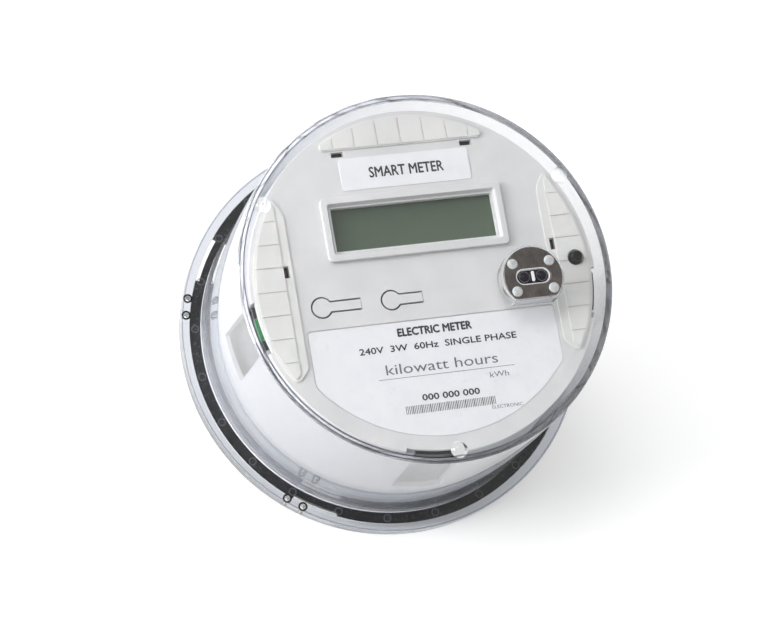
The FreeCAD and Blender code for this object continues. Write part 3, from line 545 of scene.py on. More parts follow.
def raised(bm: bmesh.types.BMesh, height: float, soft: float = 0.0,
           both: bool = False) -> bmesh.types.BMesh:
    """Raise every flat face of a bmesh into a closed solid.

    Args:
        bm: Holds flat faces only.
        height: Thickness, forward.
        soft: Rounding of the front edges.
        both: Whether the rear edges are rounded too.

    Returns:
        The same bmesh.
    """
    grown = bmesh.ops.extrude_face_region(bm, geom=list(bm.faces), use_keep_orig=True)["geom"]
    top = {v for v in grown if isinstance(v, bmesh.types.BMVert)}
    bmesh.ops.translate(bm, verts=list(top), vec=(0, 0, height))
    bmesh.ops.recalc_face_normals(bm, faces=bm.faces)
    if soft:
        edges = [e for e in bm.edges if e.calc_face_angle(0) > SHARP_TURN
                 and (e.verts[0] in top) == (e.verts[1] in top) and (both or e.verts[0] in top)]
        bmesh.ops.bevel(bm, geom=edges, offset=soft, segments=3, profile=0.5, affect="EDGES",
                        clamp_overlap=True, material=-1)
    return bm


def plate(outer: Outline, rear: float, front: float, soft: float = 0.0, both: bool = False,
          holes: Sequence[Outline] = ()) -> bmesh.types.BMesh:
    """A flat plate with rounded edges and holes.

    Args:
        outer: Its outline.
        rear: Where it starts, forward from the seat.
        front: Where it ends.
        soft: Rounding of the front edges.
        both: Whether the rear edges are rounded too.
        holes: Outlines of its holes.

    Returns:
        A new bmesh with the closed plate.
    """
    bm = bmesh.new()
    outer.draw(bm, rear, keep_face=not holes)
    if holes:
        for hole in holes:
            hole.draw(bm, rear, keep_face=False)
        bmesh.ops.triangle_fill(bm, use_beauty=True, use_dissolve=False, edges=list(bm.edges))
    return raised(bm, front - rear, soft, both)


def turned(profile: Iterable[Pair], soft: float = 0.0, steps: int = 96) -> bmesh.types.BMesh:
    """A turned solid about the z axis.

    Args:
        profile: Corners of its half section as (radius, forward), closed back to the first.
        soft: Rounding of every corner off the axis.
        steps: Steps of the full turn.

    Returns:
        A new bmesh with the closed solid.
    """
    bm = bmesh.new()
    corners = [bm.verts.new((radius, 0, forward)) for radius, forward in profile]
    for first, second in zip(corners, corners[1:] + corners[:1]):
        if first.co.x > 1e-6 or second.co.x > 1e-6:
            bm.edges.new((first, second))
    if soft:
        off_axis = [v for v in bm.verts if v.co.x > 1e-6 and turn_at(v) > SHARP_TURN]
        bmesh.ops.bevel(bm, geom=off_axis, offset=soft, segments=3, profile=0.5, affect="VERTICES",
                        clamp_overlap=True, material=-1)
    bmesh.ops.spin(bm, geom=list(bm.verts) + list(bm.edges), cent=(0, 0, 0), axis=(0, 0, 1), dvec=(0, 0, 0),
                   angle=math.tau, steps=steps, use_merge=True, use_duplicate=False)
    bmesh.ops.remove_doubles(bm, verts=bm.verts, dist=1e-4)
    bmesh.ops.recalc_face_normals(bm, faces=bm.faces)
    return bm


def tube(inner: float, outer: float, rear: float, front: float, soft: float = 0.0,
         steps: int = 96) -> bmesh.types.BMesh:
    """A plain ring about the z axis.

    Args:
        inner: Inner radius.
        outer: Outer radius.
        rear: Where it starts, forward from the seat.
        front: Where it ends.
        soft: Rounding of its edges.
        steps: Steps of the full turn.

    Returns:
        A new bmesh with the closed ring.
    """
    return turned([(inner, rear), (outer, rear), (outer, front), (inner, front)], soft, steps)


def block(width: float, height: float, depth: float, soft: float = 0.0) -> bmesh.types.BMesh:
    """A rounded block that stands on z = 0, centred on x and y.

    Args:
        width: Size along x.
        height: Size along y.
        depth: Size along z.
        soft: Rounding of all its edges.

    Returns:
        A new bmesh with the block.
    """
    bm = bmesh.new()
    place = Matrix.Translation((0, 0, depth / 2)) @ Matrix.Diagonal((width, height, depth, 1))
    bmesh.ops.create_cube(bm, size=1, matrix=place)
    if soft:
        bmesh.ops.bevel(bm, geom=list(bm.edges), offset=soft, segments=3, profile=0.5, affect="EDGES",
                        clamp_overlap=True, material=-1)
    return bm


def framed(loops: Sequence[tuple[Outline, float]]) -> bmesh.types.BMesh:
    """A closed ring bridged through a row of outlines.

    Args:
        loops: Outlines with their places forward. The last one is bridged back to the first.

    Returns:
        A new bmesh with the ring.
    """
    bm = bmesh.new()
    drawn = [outline.draw(bm, forward, keep_face=False) for outline, forward in loops]
    for first, second in zip(drawn, drawn[1:] + drawn[:1]):
        bmesh.ops.bridge_loops(bm, edges=first + second)
    bmesh.ops.recalc_face_normals(bm, faces=bm.faces)
    return bm


def sector(inner: float, outer: float, rear: float, front: float, start: float,
           sweep: float, steps: int = 48) -> bmesh.types.BMesh:
    """A wedge of a ring about the z axis.

    Args:
        inner: Inner radius.
        outer: Outer radius.
        rear: Where it starts, forward from the seat.
        front: Where it ends.
        start: First angle in degrees.
        sweep: Angle that it covers in degrees.
        steps: Steps along the sweep.

    Returns:
        A new bmesh with the closed wedge.
    """
    bm = bmesh.new()
    section = [bm.verts.new((radius, 0, forward)) for radius, forward in
               ((inner, rear), (outer, rear), (outer, front), (inner, front))]
    bm.faces.new(section)
    turn = Matrix.Rotation(math.radians(start), 3, "Z")
    bmesh.ops.rotate(bm, verts=section, cent=(0, 0, 0), matrix=turn)
    bmesh.ops.spin(bm, geom=list(bm.faces), cent=(0, 0, 0), axis=(0, 0, 1), dvec=(0, 0, 0),
                   angle=math.radians(sweep), steps=steps, use_merge=False, use_duplicate=False)
    bmesh.ops.remove_doubles(bm, verts=bm.verts, dist=1e-4)
    bmesh.ops.recalc_face_normals(bm, faces=bm.faces)
    return bm


def around(radius: float, angle: float) -> Pair:
    """The x and y of a point on a circle, its angle in degrees from the right."""
    return radius * math.cos(math.radians(angle)), radius * math.sin(math.radians(angle))


class Work:
    """One piece in the making, from one or more solids."""

    def __init__(self, name: str) -> None:
        """Start an empty piece.

        Args:
            name: Name of the finished object.
        """
        self.name = name
        self.bm = bmesh.new()

    def add(self, solid: bmesh.types.BMesh, at: Triple = (0, 0, 0), turn: float = 0.0,
            lay: Matrix | None = None) -> "Work":
        """Add a solid.

        Args:
            solid: The solid, which is used up.
            at: Where its origin goes.
            turn: Turn about the z axis in degrees.
            lay: A turn that comes first.

        Returns:
            This piece, so that calls can be chained.
        """
        place = Matrix.Translation(at) @ Matrix.Rotation(math.radians(turn), 4, "Z")
        solid.transform(place @ (lay or Matrix()))
        mesh = bpy.data.meshes.new("solid")
        solid.to_mesh(mesh)
        solid.free()
        self.bm.from_mesh(mesh)
        bpy.data.meshes.remove(mesh)
        return self

    def carve(self, *tools: bmesh.types.BMesh) -> "Work":
        """Cut closed tools out of the piece.

        Args:
            tools: The tools, which are used up.

        Returns:
            This piece, so that calls can be chained.
        """
        cutter = Work("cutter")
        for tool in tools:
            cutter.add(tool)
        holders = []
        for bm in (self.bm, cutter.bm):
            mesh = bpy.data.meshes.new("carving")
            bm.to_mesh(mesh)
            bm.free()
            holder = bpy.data.objects.new("carving", mesh)
            bpy.context.scene.collection.objects.link(holder)
            holders.append(holder)
        cut = holders[0].modifiers.new("carve", "BOOLEAN")
        cut.operation = "DIFFERENCE"
        cut.solver = "EXACT"
        cut.use_self = len(tools) > 1
        cut.object = holders[1]
        solved = holders[0].evaluated_get(bpy.context.evaluated_depsgraph_get())
        mesh = bpy.data.meshes.new_from_object(solved)
        self.bm = bmesh.new()
        self.bm.from_mesh(mesh)
        bmesh.ops.dissolve_degenerate(self.bm, dist=1e-4, edges=self.bm.edges)
        bpy.data.meshes.remove(mesh)
        for holder in holders:
            bpy.data.objects.remove(holder)
        return self

    def done(self, body: str, slot: str, finish: Finish,
             stands_for: Sequence[str] = ()) -> bpy.types.Object:
        """Turn the piece into the row frame, dress it and put it on its body.

        Args:
            body: The body that it rides on.
            slot: The record's material slot; not used.
            finish: Its finish.
            stands_for: CAD nodes that it replaces.

        Returns:
            The finished object.
        """
        self.bm.transform(ROW)
        mesh = bpy.data.meshes.new(self.name)
        self.bm.to_mesh(mesh)
        self.bm.free()
        mesh.shade_smooth()
        mesh.set_sharp_from_angle(angle=SMOOTH_UNDER)
        mesh.materials.append(finish.material())
        piece = bpy.data.objects.new(self.name, mesh)
        bpy.context.scene.collection.objects.link(piece)
        piece.modifiers.new("flat_faces", "WEIGHTED_NORMAL").keep_sharp = True
        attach(piece, body)
        if stands_for:
            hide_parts(*stands_for)
        log.info("%s: %d faces, on %s", self.name, len(mesh.polygons), body)
        return piece


def dress(finish: Finish, *nodes: str) -> None:
    """Give carried-over CAD nodes a finish.

    Args:
        finish: The finish.
        nodes: Names of the nodes.
    """
    for name in nodes:
        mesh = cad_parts[name].data
        mesh.materials.clear()
        mesh.materials.append(finish.material())
        log.info("%s: kept from the CAD model", name)


def lettering(text: str, height: float, width: float, weight: float = 0.0,
              thickness: float = 0.03) -> bmesh.types.BMesh:
    """Generic lettering as a thin solid, centred on x and y.

    Args:
        text: The words or figures.
        height: Height of a capital.
        width: Width of the whole line.
        weight: How far the strokes are doubled sideways to make them bold.
        thickness: How far the letters stand up.

    Returns:
        A new bmesh with the letters, standing on z = 0.
    """
    curve = bpy.data.curves.new("letters", "FONT")
    curve.body = text
    curve.resolution_u = 3
    holder = bpy.data.objects.new("letters", curve)
    bpy.context.scene.collection.objects.link(holder)
    solved = holder.evaluated_get(bpy.context.evaluated_depsgraph_get())
    mesh = bpy.data.meshes.new_from_object(solved)
    bpy.data.objects.remove(holder)
    bm = bmesh.new()
    bm.from_mesh(mesh)
    bpy.data.meshes.remove(mesh)
    bmesh.ops.remove_doubles(bm, verts=bm.verts, dist=1e-5)
    low_x, high_x = min(v.co.x for v in bm.verts), max(v.co.x for v in bm.verts)
    low_y, high_y = min(v.co.y for v in bm.verts), max(v.co.y for v in bm.verts)
    size = Matrix.Diagonal((width / (high_x - low_x), height / (high_y - low_y), 1, 1))
    bm.transform(size @ Matrix.Translation((-(low_x + high_x) / 2, -(low_y + high_y) / 2, 0)))
    raised(bm, thickness)
    if weight:
        strokes = list(bm.verts) + list(bm.edges) + list(bm.faces)
        for step, (right, up) in enumerate(((-1, 0), (1, 0), (0, 1), (0, -1)), 1):
            copy = bmesh.ops.duplicate(bm, geom=strokes)["geom"]
            verts = [v for v in copy if isinstance(v, bmesh.types.BMVert)]
            bmesh.ops.translate(bm, verts=verts, vec=(right * weight, up * weight, -0.002 * step))
    return bm


# ---------------------------------------------------------------- sub-assemblies
@dataclass
class ClearCover:
    """Clear drum with its rim, studs and hollow port boss."""

    bead: Pair = (87.45, 88.05)
    bead_rear: float = 6.01
    bead_front: float = 6.35
    seal_circle: float = 86.2
    seal_angles: Pair = (166, 234)
    seal_half_step: float = 2.5
    eyelet: Pair = (1.25, 2.0)
    eyelet_front: float = 6.25

    def make(self) -> None:
        """Dress the cover, lay the fine bead on its rim and line the seal wire's holes."""
        dress(CLEAR, "outer_cover")
        bead = tube(*self.bead, self.bead_rear, self.bead_front, 0.08, 240)
        Work("rim_bead").add(bead).done("cover", "clear_polycarbonate", CLEAR)
        eyelets = Work("seal_eyelets")
        for angle in self.seal_angles:
            for side in SIDES:
                ring = tube(*self.eyelet, self.bead_rear, self.eyelet_front, 0.05, 40)
                eyelets.add(ring, (*around(self.seal_circle, angle + side * self.seal_half_step), 0))
        eyelets.done("cover", "black_base_plastic", STEM_BLACK)


@dataclass
class OpticalPort:
    """Steel plate on the cover's boss, its rivets, the dark window, and the infrared parts behind it."""

    right: float = 41.5
    up: float = -7.0
    rear: float = 100.6
    thick: float = 1.2
    radius: float = 12.3
    flat: float = 8.9
    slot_length: float = 14.8
    slot_width: float = 7.1
    rivet_right: float = 7.8
    rivet_up: float = 5.8
    rivet_shank: float = 1.2
    rivet_head: float = 2.2
    rivet_dome: float = 0.8
    lip_gap: float = 0.15
    lip_wall: float = 0.4
    lens_right: float = 3.7
    lens_steps: tuple = ((2.5, 0.5), (1.7, 0.85), (0.8, 1.0))
    lens_ring: Pair = (2.05, 2.3)
    window_inset: float = 0.8
    window_thick: float = 0.2
    blind: Triple = (0.5, 4.0, 0.7)
    blind_right: float = 1.1
    divider: Pair = (1.25, 4.3)

    def oval(self, inset: float) -> Outline:
        """The slot's outline, drawn in by inset on all sides."""
        return Outline(self.slot_length - 2 * inset, self.slot_width - 2 * inset,
                       corner=self.slot_width / 2 - inset - TOUCH)

    def make(self) -> None:
        """Make the plate, the rivets and the window, and dress the parts behind them."""
        middle, front = (self.right, self.up, 0), self.rear + self.thick
        places = [(side * self.rivet_right, level * self.rivet_up) for side, level in CORNERS]
        outer = Outline(radius=self.radius, cuts=((0, -self.flat, 0, -1),), corner=0.8)
        holes = [Outline(self.slot_length, self.slot_width, corner=self.slot_width / 2 - 0.01)]
        holes += [Outline(radius=self.rivet_shank + TOUCH, x=x, y=y, steps=32) for x, y in places]
        skin = Work("port_plate").add(plate(outer, self.rear, front, 0.25, True, holes), middle)
        skin.done("cover", "stainless_plate", STAINLESS, ["optical_port_plate"])
        rivets = Work("port_rivets")
        for x, y in places:
            head = turned([(0, self.rear), (self.rivet_shank, self.rear), (self.rivet_shank, front),
                           (self.rivet_head, front), (self.rivet_head - 0.2, front + 0.5),
                           (self.rivet_shank, front + self.rivet_dome - 0.02),
                           (0, front + self.rivet_dome)], steps=32)
            rivets.add(head, (self.right + x, self.up + y, 0))
        rivets.done("cover", "clear_polycarbonate", MILKY_RIVET, ["optical_port_rivets"])
        # White finish on the clear lip: painted light on the slot's inner edge.
        ring = plate(self.oval(self.lip_gap), self.rear + 0.02, front - 0.2, 0.15,
                     holes=[self.oval(self.lip_gap + self.lip_wall)])
        Work("port_slot_lip").add(ring, middle).done("cover", "clear_polycarbonate", DIVIDER_WHITE)
        self.window(middle)
        dress(INFRARED, "infrared_emitter", "infrared_receiver")
        dress(DIVIDER_WHITE, "light_divider")

    def window(self, middle: Triple) -> None:
        """Make the dark infrared window in the plate's slot: a floor, two lenses and a white divider.

        Args:
            middle: The port's centre.
        """
        floor = self.rear + TOUCH
        foot = floor + 0.15
        dark = Work("port_window")
        dark.add(plate(self.oval(self.window_inset), floor, floor + self.window_thick), middle)
        rings = Work("port_window_rings")
        for side in SIDES:
            place = (self.right + side * self.lens_right, self.up, 0)
            for radius, top in self.lens_steps:
                lens = turned([(0, foot), (radius, foot), (radius, floor + top - 0.1),
                               (radius - 0.3, floor + top), (0, floor + top)], 0.06, 40)
                dark.add(lens, place)
            dark.add(block(*self.blind, 0.1), (self.right + side * self.blind_right, self.up, foot))
            rings.add(tube(*self.lens_ring, floor + 0.4, floor + 0.62, steps=40), place)
        dark.done("cover", "infrared_lens", INFRARED)
        rings.done("cover", "infrared_lens", GREY_INK)
        post = plate(Outline(*self.divider, corner=0.55), foot, self.rear + self.thick - 0.1, 0.15)
        Work("port_window_divider").add(post, middle).done("cover", "white_shroud_plastic", DIVIDER_WHITE)


@dataclass
class BlackBase:
    """Black base with its gasket and screws, marks from the mould's ejector pins, and rear ribs."""

    marks: int = 24
    mark_circle: float = 81.9
    mark_ring: Pair = (1.3, 1.7)
    mark_rear: float = 2.5
    mark_front: float = 2.75
    back: float = -8.0
    spokes: int = 12
    rib_circles: Pair = (9.0, 35.0)
    rib_half: float = 0.8
    rib_high: float = 0.9
    blades: Pair = (27.0, 43.0)
    slot_opening: Pair = (4.6, 21.0)
    slot_border: Pair = (8.0, 24.4)

    def make(self) -> None:
        """Dress the base and what fastens it, and make its marks, ribs and slot frames."""
        dress(BASE_BLACK, "base")
        # RUBBER is near white: painted light on the gasket.
        dress(RUBBER, "cover_gasket")
        dress(ZINC, "base_screws")
        marks = Work("base_ejector_marks")
        for mark in range(self.marks):
            x, y = around(self.mark_circle, 7 + mark * 360 / self.marks)
            marks.add(tube(*self.mark_ring, self.mark_rear, self.mark_front, steps=24), (x, y, 0))
        marks.done("meter", "black_base_plastic", FRAME_GREY)
        ribs = Work("base_rear_ribs")
        for radius in self.rib_circles:
            ribs.add(tube(radius - self.rib_half, radius + self.rib_half, self.back - self.rib_high,
                          self.back + 0.1, 0.2))
        inner, outer = self.rib_circles
        for spoke in range(self.spokes):
            angle = (spoke + 0.5) * 360 / self.spokes
            ribs.add(block(outer - inner - 1.2, 1.2, self.rib_high, 0.2),
                     (*around((inner + outer) / 2, angle), self.back - self.rib_high + 0.1), angle)
        ribs.done("meter", "black_base_plastic", BASE_BLACK)
        frames = Work("blade_slot_frames")
        for side, level in CORNERS:
            x, y = side * self.blades[0], level * self.blades[1]
            frames.add(plate(Outline(*self.slot_border, x, y, corner=1.6), self.back - 1.0, self.back + 0.1,
                             holes=[Outline(*self.slot_opening, x, y, corner=0.6)]))
        frames.done("meter", "black_base_plastic", BASE_BLACK)


@dataclass
class Shroud:
    """White shroud, its stepped foot, and the grey tube inside."""

    foot: tuple = ((74.7, 3.4), (76.95, 3.4), (76.95, 5.2), (76.5, 5.6), (76.5, 6.6), (76.7, 6.8),
                   (76.7, 8.6), (76.2, 9.0), (76.2, 10.4), (74.7, 12.0))

    def make(self) -> None:
        """Make the shroud and its foot."""
        dress(SHROUD_WHITE, "inner_shroud")
        dress(FRAME_GREY, "inner_frame")
        Work("shroud_foot").add(turned(self.foot, 0.12, 180)).done("meter", "white_shroud_plastic",
                                                                   SHROUD_WHITE)


@dataclass
class Panel:
    """One ribbed panel of the face: cuts that trim it from a disc, and its grooves."""

    name: str
    cuts: tuple
    rib_cuts: tuple
    grooves: tuple
    across: Triple


@dataclass
class Face:
    """White face with ribbed raised panels, keyhole buttons, plunger and optics."""

    radius: float = 72.6
    rear: float = 85.4
    front: float = 87.6
    relief: float = 0.6
    panel_radius: float = 70.5
    rib_radius: float = 69.9
    end_round: float = 3.2
    groove: float = 0.3
    rib_height: float = 0.4
    top_edge: float = 57.9
    top_half: float = 34.5
    top_grooves: tuple = (-29.0, -19.7, -9.9, 0.0, 9.9, 19.7, 29.0)
    side_edge: float = 53.8
    side_border: float = 3.4
    side_low: float = -36.4
    side_ends: tuple = ((56.0, 37.0, -0.87, 0.5), (55.3, -33.4, -0.75, -0.66))
    side_grooves: tuple = (-28.6, -18.7, -8.9, 1.0, 11.1, 20.7, 30.5)
    recess: float = 0.5
    recess_radius: float = 65.5
    recess_half: float = 52.2
    recess_top: float = -16.3
    window: Pair = (68.3, 18.4)
    window_up: float = 24.4
    buttons: tuple = ((-44.2, 3.9, -27.8), (-15.3, 3.7, -2.0))
    button_up: float = -7.1
    button_arm: float = 3.7
    button_slot: float = 0.7
    plunger_place: Pair = (65.0, 2.0)
    plunger_bore: float = 2.95
    plunger_sink: float = 3.5
    port_place: Pair = (41.5, -7.0)
    latches: tuple = ((5.0, 2.2, 27.4, 56.2), (2.2, 5.0, 56.3, 9.0))
    slot_starts: tuple = (181.6, 254.0, 340.5)
    slot_sweep: float = 17.4
    slot_depth: float = 1.6
    optic_slot: Pair = (16.5, 8.5)
    # Black sectors behind the edge slots: painted shade.
    shade_tabs: tuple = ((182.6, 3.6), (194.0, 3.2), (257.6, 13.6), (344.0, 12.6))
    green_tab: Pair = (186.4, 7.4)
    tab_reach: Pair = (1.7, 0.3)
    tab_depth: Pair = (2.0, 0.5)
    stem: tuple = ((0, 79.4), (2.5, 79.4), (2.5, 89.9), (2.15, 90.3), (2.15, 91.3), (1.8, 91.6), (0.9, 91.6),
                   (0.9, 91.1), (0, 91.1))
    holder: Pair = (16.3, 8.3)
    holder_rear: float = 83.0
    holder_front: float = 86.2
    bore_right: float = 3.8
    bore: float = 2.35
    divider_slot: Pair = (1.7, 4.7)

    def panels(self) -> list[Panel]:
        """The three panels of the face."""
        halves = [(-self.top_half, 0, -1, 0), (self.top_half, 0, 1, 0)]
        made = [Panel("top_ribs", ((0, self.top_edge, 0, -1), *halves),
                      ((0, self.top_edge + 0.35, 0, -1), *halves), self.top_grooves, (1, 0, 0))]
        for side, name in zip(SIDES, ("left_ribs", "right_ribs")):
            cuts = []
            for inset in (0.0, self.side_border):
                ends = [(side * (right + inset * 0.5), up, side * nx, ny)
                        for right, up, nx, ny in self.side_ends]
                cuts.append(((side * (self.side_edge + inset), 0, -side, 0),
                             (0, self.side_low + inset * 0.2, 0, -1), *ends))
            made.append(Panel(name, cuts[0], cuts[1], self.side_grooves, (0, 1, 0)))
        return made

    def panel_holes(self, panel: Panel) -> list[Outline]:
        """Holes of one panel: its latch window, and the plunger's bore on the right.

        Args:
            panel: The panel.

        Returns:
            The holes' outlines.
        """
        if panel.name == "top_ribs":
            return []
        width, height, right, up = self.latches[1]
        side = -1 if panel.name == "left_ribs" else 1
        holes = [Outline(width, height, side * right, up)]
        if side > 0:
            holes.append(Outline(radius=self.plunger_sink, x=self.plunger_place[0], y=self.plunger_place[1],
                                 steps=64))
        return holes

    def sink(self) -> bmesh.types.BMesh:
        """The countersunk bore of the plunger, as a cutting tool."""
        top = self.front + self.relief + self.rib_height + 0.1
        profile = [(0, self.rear - 1), (self.plunger_bore, self.rear - 1), (self.plunger_bore, top - 1.0),
                   (self.plunger_sink, top - 0.3), (self.plunger_sink, top + 1), (0, top + 1)]
        tool = turned(profile, steps=64)
        tool.transform(Matrix.Translation((*self.plunger_place, 0)))
        return tool

    def ribs(self, panel: Panel) -> None:
        """Lay raised ribs on one panel.

        Args:
            panel: The panel.
        """
        bm = bmesh.new()
        outline = Outline(radius=self.rib_radius, cuts=panel.rib_cuts, corner=self.end_round, steps=180)
        outline.draw(bm, self.front + self.relief - TOUCH)
        for place in panel.grooves:
            bmesh.ops.bisect_plane(bm, geom=list(bm.verts) + list(bm.edges) + list(bm.faces), dist=1e-5,
                                   plane_co=Vector(panel.across) * place, plane_no=panel.across)
        rings = bmesh.ops.inset_individual(bm, faces=list(bm.faces), thickness=self.groove,
                                           use_even_offset=True)
        bmesh.ops.delete(bm, geom=rings["faces"], context="FACES")
        work = Work(panel.name).add(raised(bm, self.rib_height + TOUCH, 0.25))
        if panel.name == "right_ribs":
            work.carve(self.sink())
        work.done("meter", "white_face_plastic", RIB_WHITE)

    def tools(self) -> list[bmesh.types.BMesh]:
        """The tools that cut the face's openings and its label recess."""
        low, high = self.rear - 1, self.front + 2
        made = [plate(Outline(*self.window, y=self.window_up, corner=0.5), low, high),
                plate(Outline(*self.optic_slot, *self.port_place, corner=4.2), low, high), self.sink()]
        cuts = ((0, self.recess_top, 0, 1), (-self.recess_half, 0, -1, 0), (self.recess_half, 0, 1, 0))
        made.append(plate(Outline(radius=self.recess_radius, cuts=cuts, corner=1.8, steps=180),
                          self.front - self.recess, high))
        for width, height, right, up in self.latches:
            made += [plate(Outline(width, height, side * right, up), low, high) for side in SIDES]
        for right, radius, root in self.buttons:
            length = root - right
            ring = Outline(radius=radius + self.button_slot, x=right, y=self.button_up)
            made.append(plate(ring, low, high))
            made.append(plate(Outline(length, self.button_arm + 2 * self.button_slot, right + length / 2,
                                      self.button_up), low, high))
        made += [sector(self.radius - self.slot_depth, self.radius + 4, low, high, start, self.slot_sweep)
                 for start in self.slot_starts]
        return made

    def slot_tabs(self) -> None:
        """Black blocks that paint the shade seen through the edge slots and the latch windows, with the green
        board's edge between the left edge slots.
        """
        inner, outer = (self.radius - reach for reach in self.tab_reach)
        rear, front = (self.rear - depth for depth in self.tab_depth)
        black, green = Work("slot_shade_blocks"), Work("board_edge_tab")
        for start, sweep in self.shade_tabs:
            black.add(sector(inner, outer, rear, front, start, sweep))
        green.add(sector(inner, outer, rear, front, *self.green_tab))
        # Black blocks behind the latch windows: painted shade.
        for width, height, right, up in self.latches:
            for side in SIDES:
                black.add(block(width + 1.2, height + 1.2, 1.6, 0.2), (side * right, up, rear))
        black.done("meter", "black_parts", PART_BLACK)
        green.done("meter", "green_board", BOARD)

    def make(self) -> None:
        """Make the face, its ribs, plunger and optics holder, and dress the buttons and the guide."""
        disc = plate(Outline(radius=self.radius, steps=240), self.rear, self.front, 0.3)
        face = Work("face_moulding").add(disc).carve(*self.tools())
        face.done("meter", "white_face_plastic", FACE_WHITE, ["face_plate"])
        for panel in self.panels():
            outline = Outline(radius=self.panel_radius, cuts=panel.cuts, corner=self.end_round, steps=180)
            raising = plate(outline, self.front - 0.02, self.front + self.relief, 0.25,
                            holes=self.panel_holes(panel))
            work = Work(panel.name.replace("ribs", "panel")).add(raising)
            work.done("meter", "white_face_plastic", RIB_WHITE)
            self.ribs(panel)
        self.slot_tabs()
        dress(FACE_WHITE, "left_button", "right_button")
        dress(PART_BLACK, "plunger_guide")
        dress(ZINC, "plunger_spring")
        stem = Work("reset_plunger_stem").add(turned(self.stem, 0.1, 48), (*self.plunger_place, 0))
        stem.done("plunger_body", "black_parts", STEM_BLACK, ["reset_plunger"])
        bores = [Outline(radius=self.bore, x=side * self.bore_right, steps=48) for side in SIDES]
        bores.append(Outline(*self.divider_slot))
        holder = plate(Outline(*self.holder, corner=4.1), self.holder_rear, self.holder_front, 0.2,
                       holes=bores)
        Work("optics_holder").add(holder, (*self.port_place, 0)).done("meter", "black_parts", PART_BLACK)


@dataclass
class Labels:
    """Name label above the display and rating label in the face's recess, with generic print."""

    front: float = 87.6
    thick: float = 0.25
    name_up: float = 47.4
    name_width: float = 55.0
    name_height: float = 13.8
    rating_radius: float = 65.1
    rating_half: float = 51.8
    rating_top: float = -16.7
    rating_rear: float = 87.1
    lines: tuple = (("ELECTRIC METER", 0.5, -20.9, 3.2, 31.0, 0.2),
                    ("240V  3W  60Hz  SINGLE PHASE", 1.0, -27.2, 2.6, 66.0, 0.09),
                    ("000 000 000", 2.5, -48.6, 2.5, 24.0, 0.11))
    light_lines: tuple = (("kilowatt hours", 1.0, -35.8, 4.2, 47.0, 0.0),
                          ("kWh", 24.0, -42.6, 2.3, 8.0, 0.0),
                          ("ELECTRONIC", 25.0, -56.0, 1.4, 13.0, 0.0))
    bars: int = 52
    bar_pitch: float = 0.73
    bar_height: float = 3.4
    bar_up: float = -53.2
    rule_length: float = 57.0
    rule_up: float = -39.6
    ink_thick: float = 0.03
    title: tuple = ("SMART METER", 4.4, 31.5, 0.13)

    def make(self) -> None:
        """Make both labels and their print."""
        stock = Outline(self.name_width, self.name_height, y=self.name_up, corner=1.2)
        top = self.front + self.thick
        sheet = Work("name_label_stock").add(plate(stock, self.front, top, 0.06))
        sheet.done("meter", "label_stock", LABEL_STOCK, ["name_label"])
        title = Work("name_label_print").add(lettering(*self.title), (0.5, self.name_up, top))
        title.done("meter", "label_stock", INK)
        cuts = ((0, self.rating_top, 0, 1), (-self.rating_half, 0, -1, 0), (self.rating_half, 0, 1, 0))
        stock = Outline(radius=self.rating_radius, cuts=cuts, corner=1.5, steps=180)
        top = self.rating_rear + self.thick
        sheet = Work("rating_label_stock").add(plate(stock, self.rating_rear, top, 0.06))
        sheet.done("meter", "label_stock", LABEL_STOCK, ["rating_label"])
        dark, light = Work("rating_label_print"), Work("rating_label_light_print")
        for work, lines in ((dark, self.lines), (light, self.light_lines)):
            for text, right, up, height, width, weight in lines:
                work.add(lettering(text, height, width, weight), (right, up, top))
        light.add(block(self.rule_length, 0.22, self.ink_thick), (2.5, self.rule_up, top))
        for bar in range(self.bars):
            width = 0.26 + 0.13 * ((bar * 7 + bar * bar) % 5 % 3)
            right = 2.0 + (bar - self.bars / 2) * self.bar_pitch
            dark.add(block(width, self.bar_height, self.ink_thick), (right, self.bar_up, top))
        dark.done("meter", "label_stock", INK)
        light.done("meter", "label_stock", GREY_INK)


@dataclass
class Display:
    """Raised bezel, the liquid crystal cell behind it, its light guide and contact strips."""

    up: float = 24.4
    front: float = 87.6
    raise_by: float = 2.0
    width: float = 76.5
    height: float = 27.0
    window_width: float = 68.3
    window_height: float = 18.4
    slope: float = 1.4
    cell_rear: float = 83.4
    cell_front: float = 85.2

    def box(self, width: float, height: float, corner: float) -> Outline:
        """A rounded box about the window's centre."""
        return Outline(width, height, y=self.up, corner=corner)

    def make(self) -> None:
        """Make the bezel and the cell."""
        top = self.front + self.raise_by
        wide, high = self.window_width, self.window_height
        Work("bezel").add(framed([
            (self.box(self.width, self.height, 2.0), self.front),
            (self.box(self.width, self.height, 2.0), top - 0.4),
            (self.box(self.width - 0.25, self.height - 0.25, 1.9), top - 0.12),
            (self.box(self.width - 0.8, self.height - 0.8, 1.7), top),
            (self.box(wide + 2 * self.slope + 0.4, high + 2 * self.slope + 0.4, 1.2), top),
            (self.box(wide + 2 * self.slope, high + 2 * self.slope, 1.1), top - 0.2),
            (self.box(wide - 0.2, high - 0.2, 0.6), self.front - 2.1),
        ])).done("meter", "white_face_plastic", FACE_WHITE, ["display_bezel"])
        cell = plate(self.box(wide + 6, high + 6, 0.6), self.cell_rear, self.cell_front, 0.15)
        Work("display_cell").add(cell).done("meter", "display_glass", CELL, ["display_glass"])
        dress(GUIDE_PLASTIC, "display_light_guide")
        dress(ELASTOMER, "display_contact_strips")


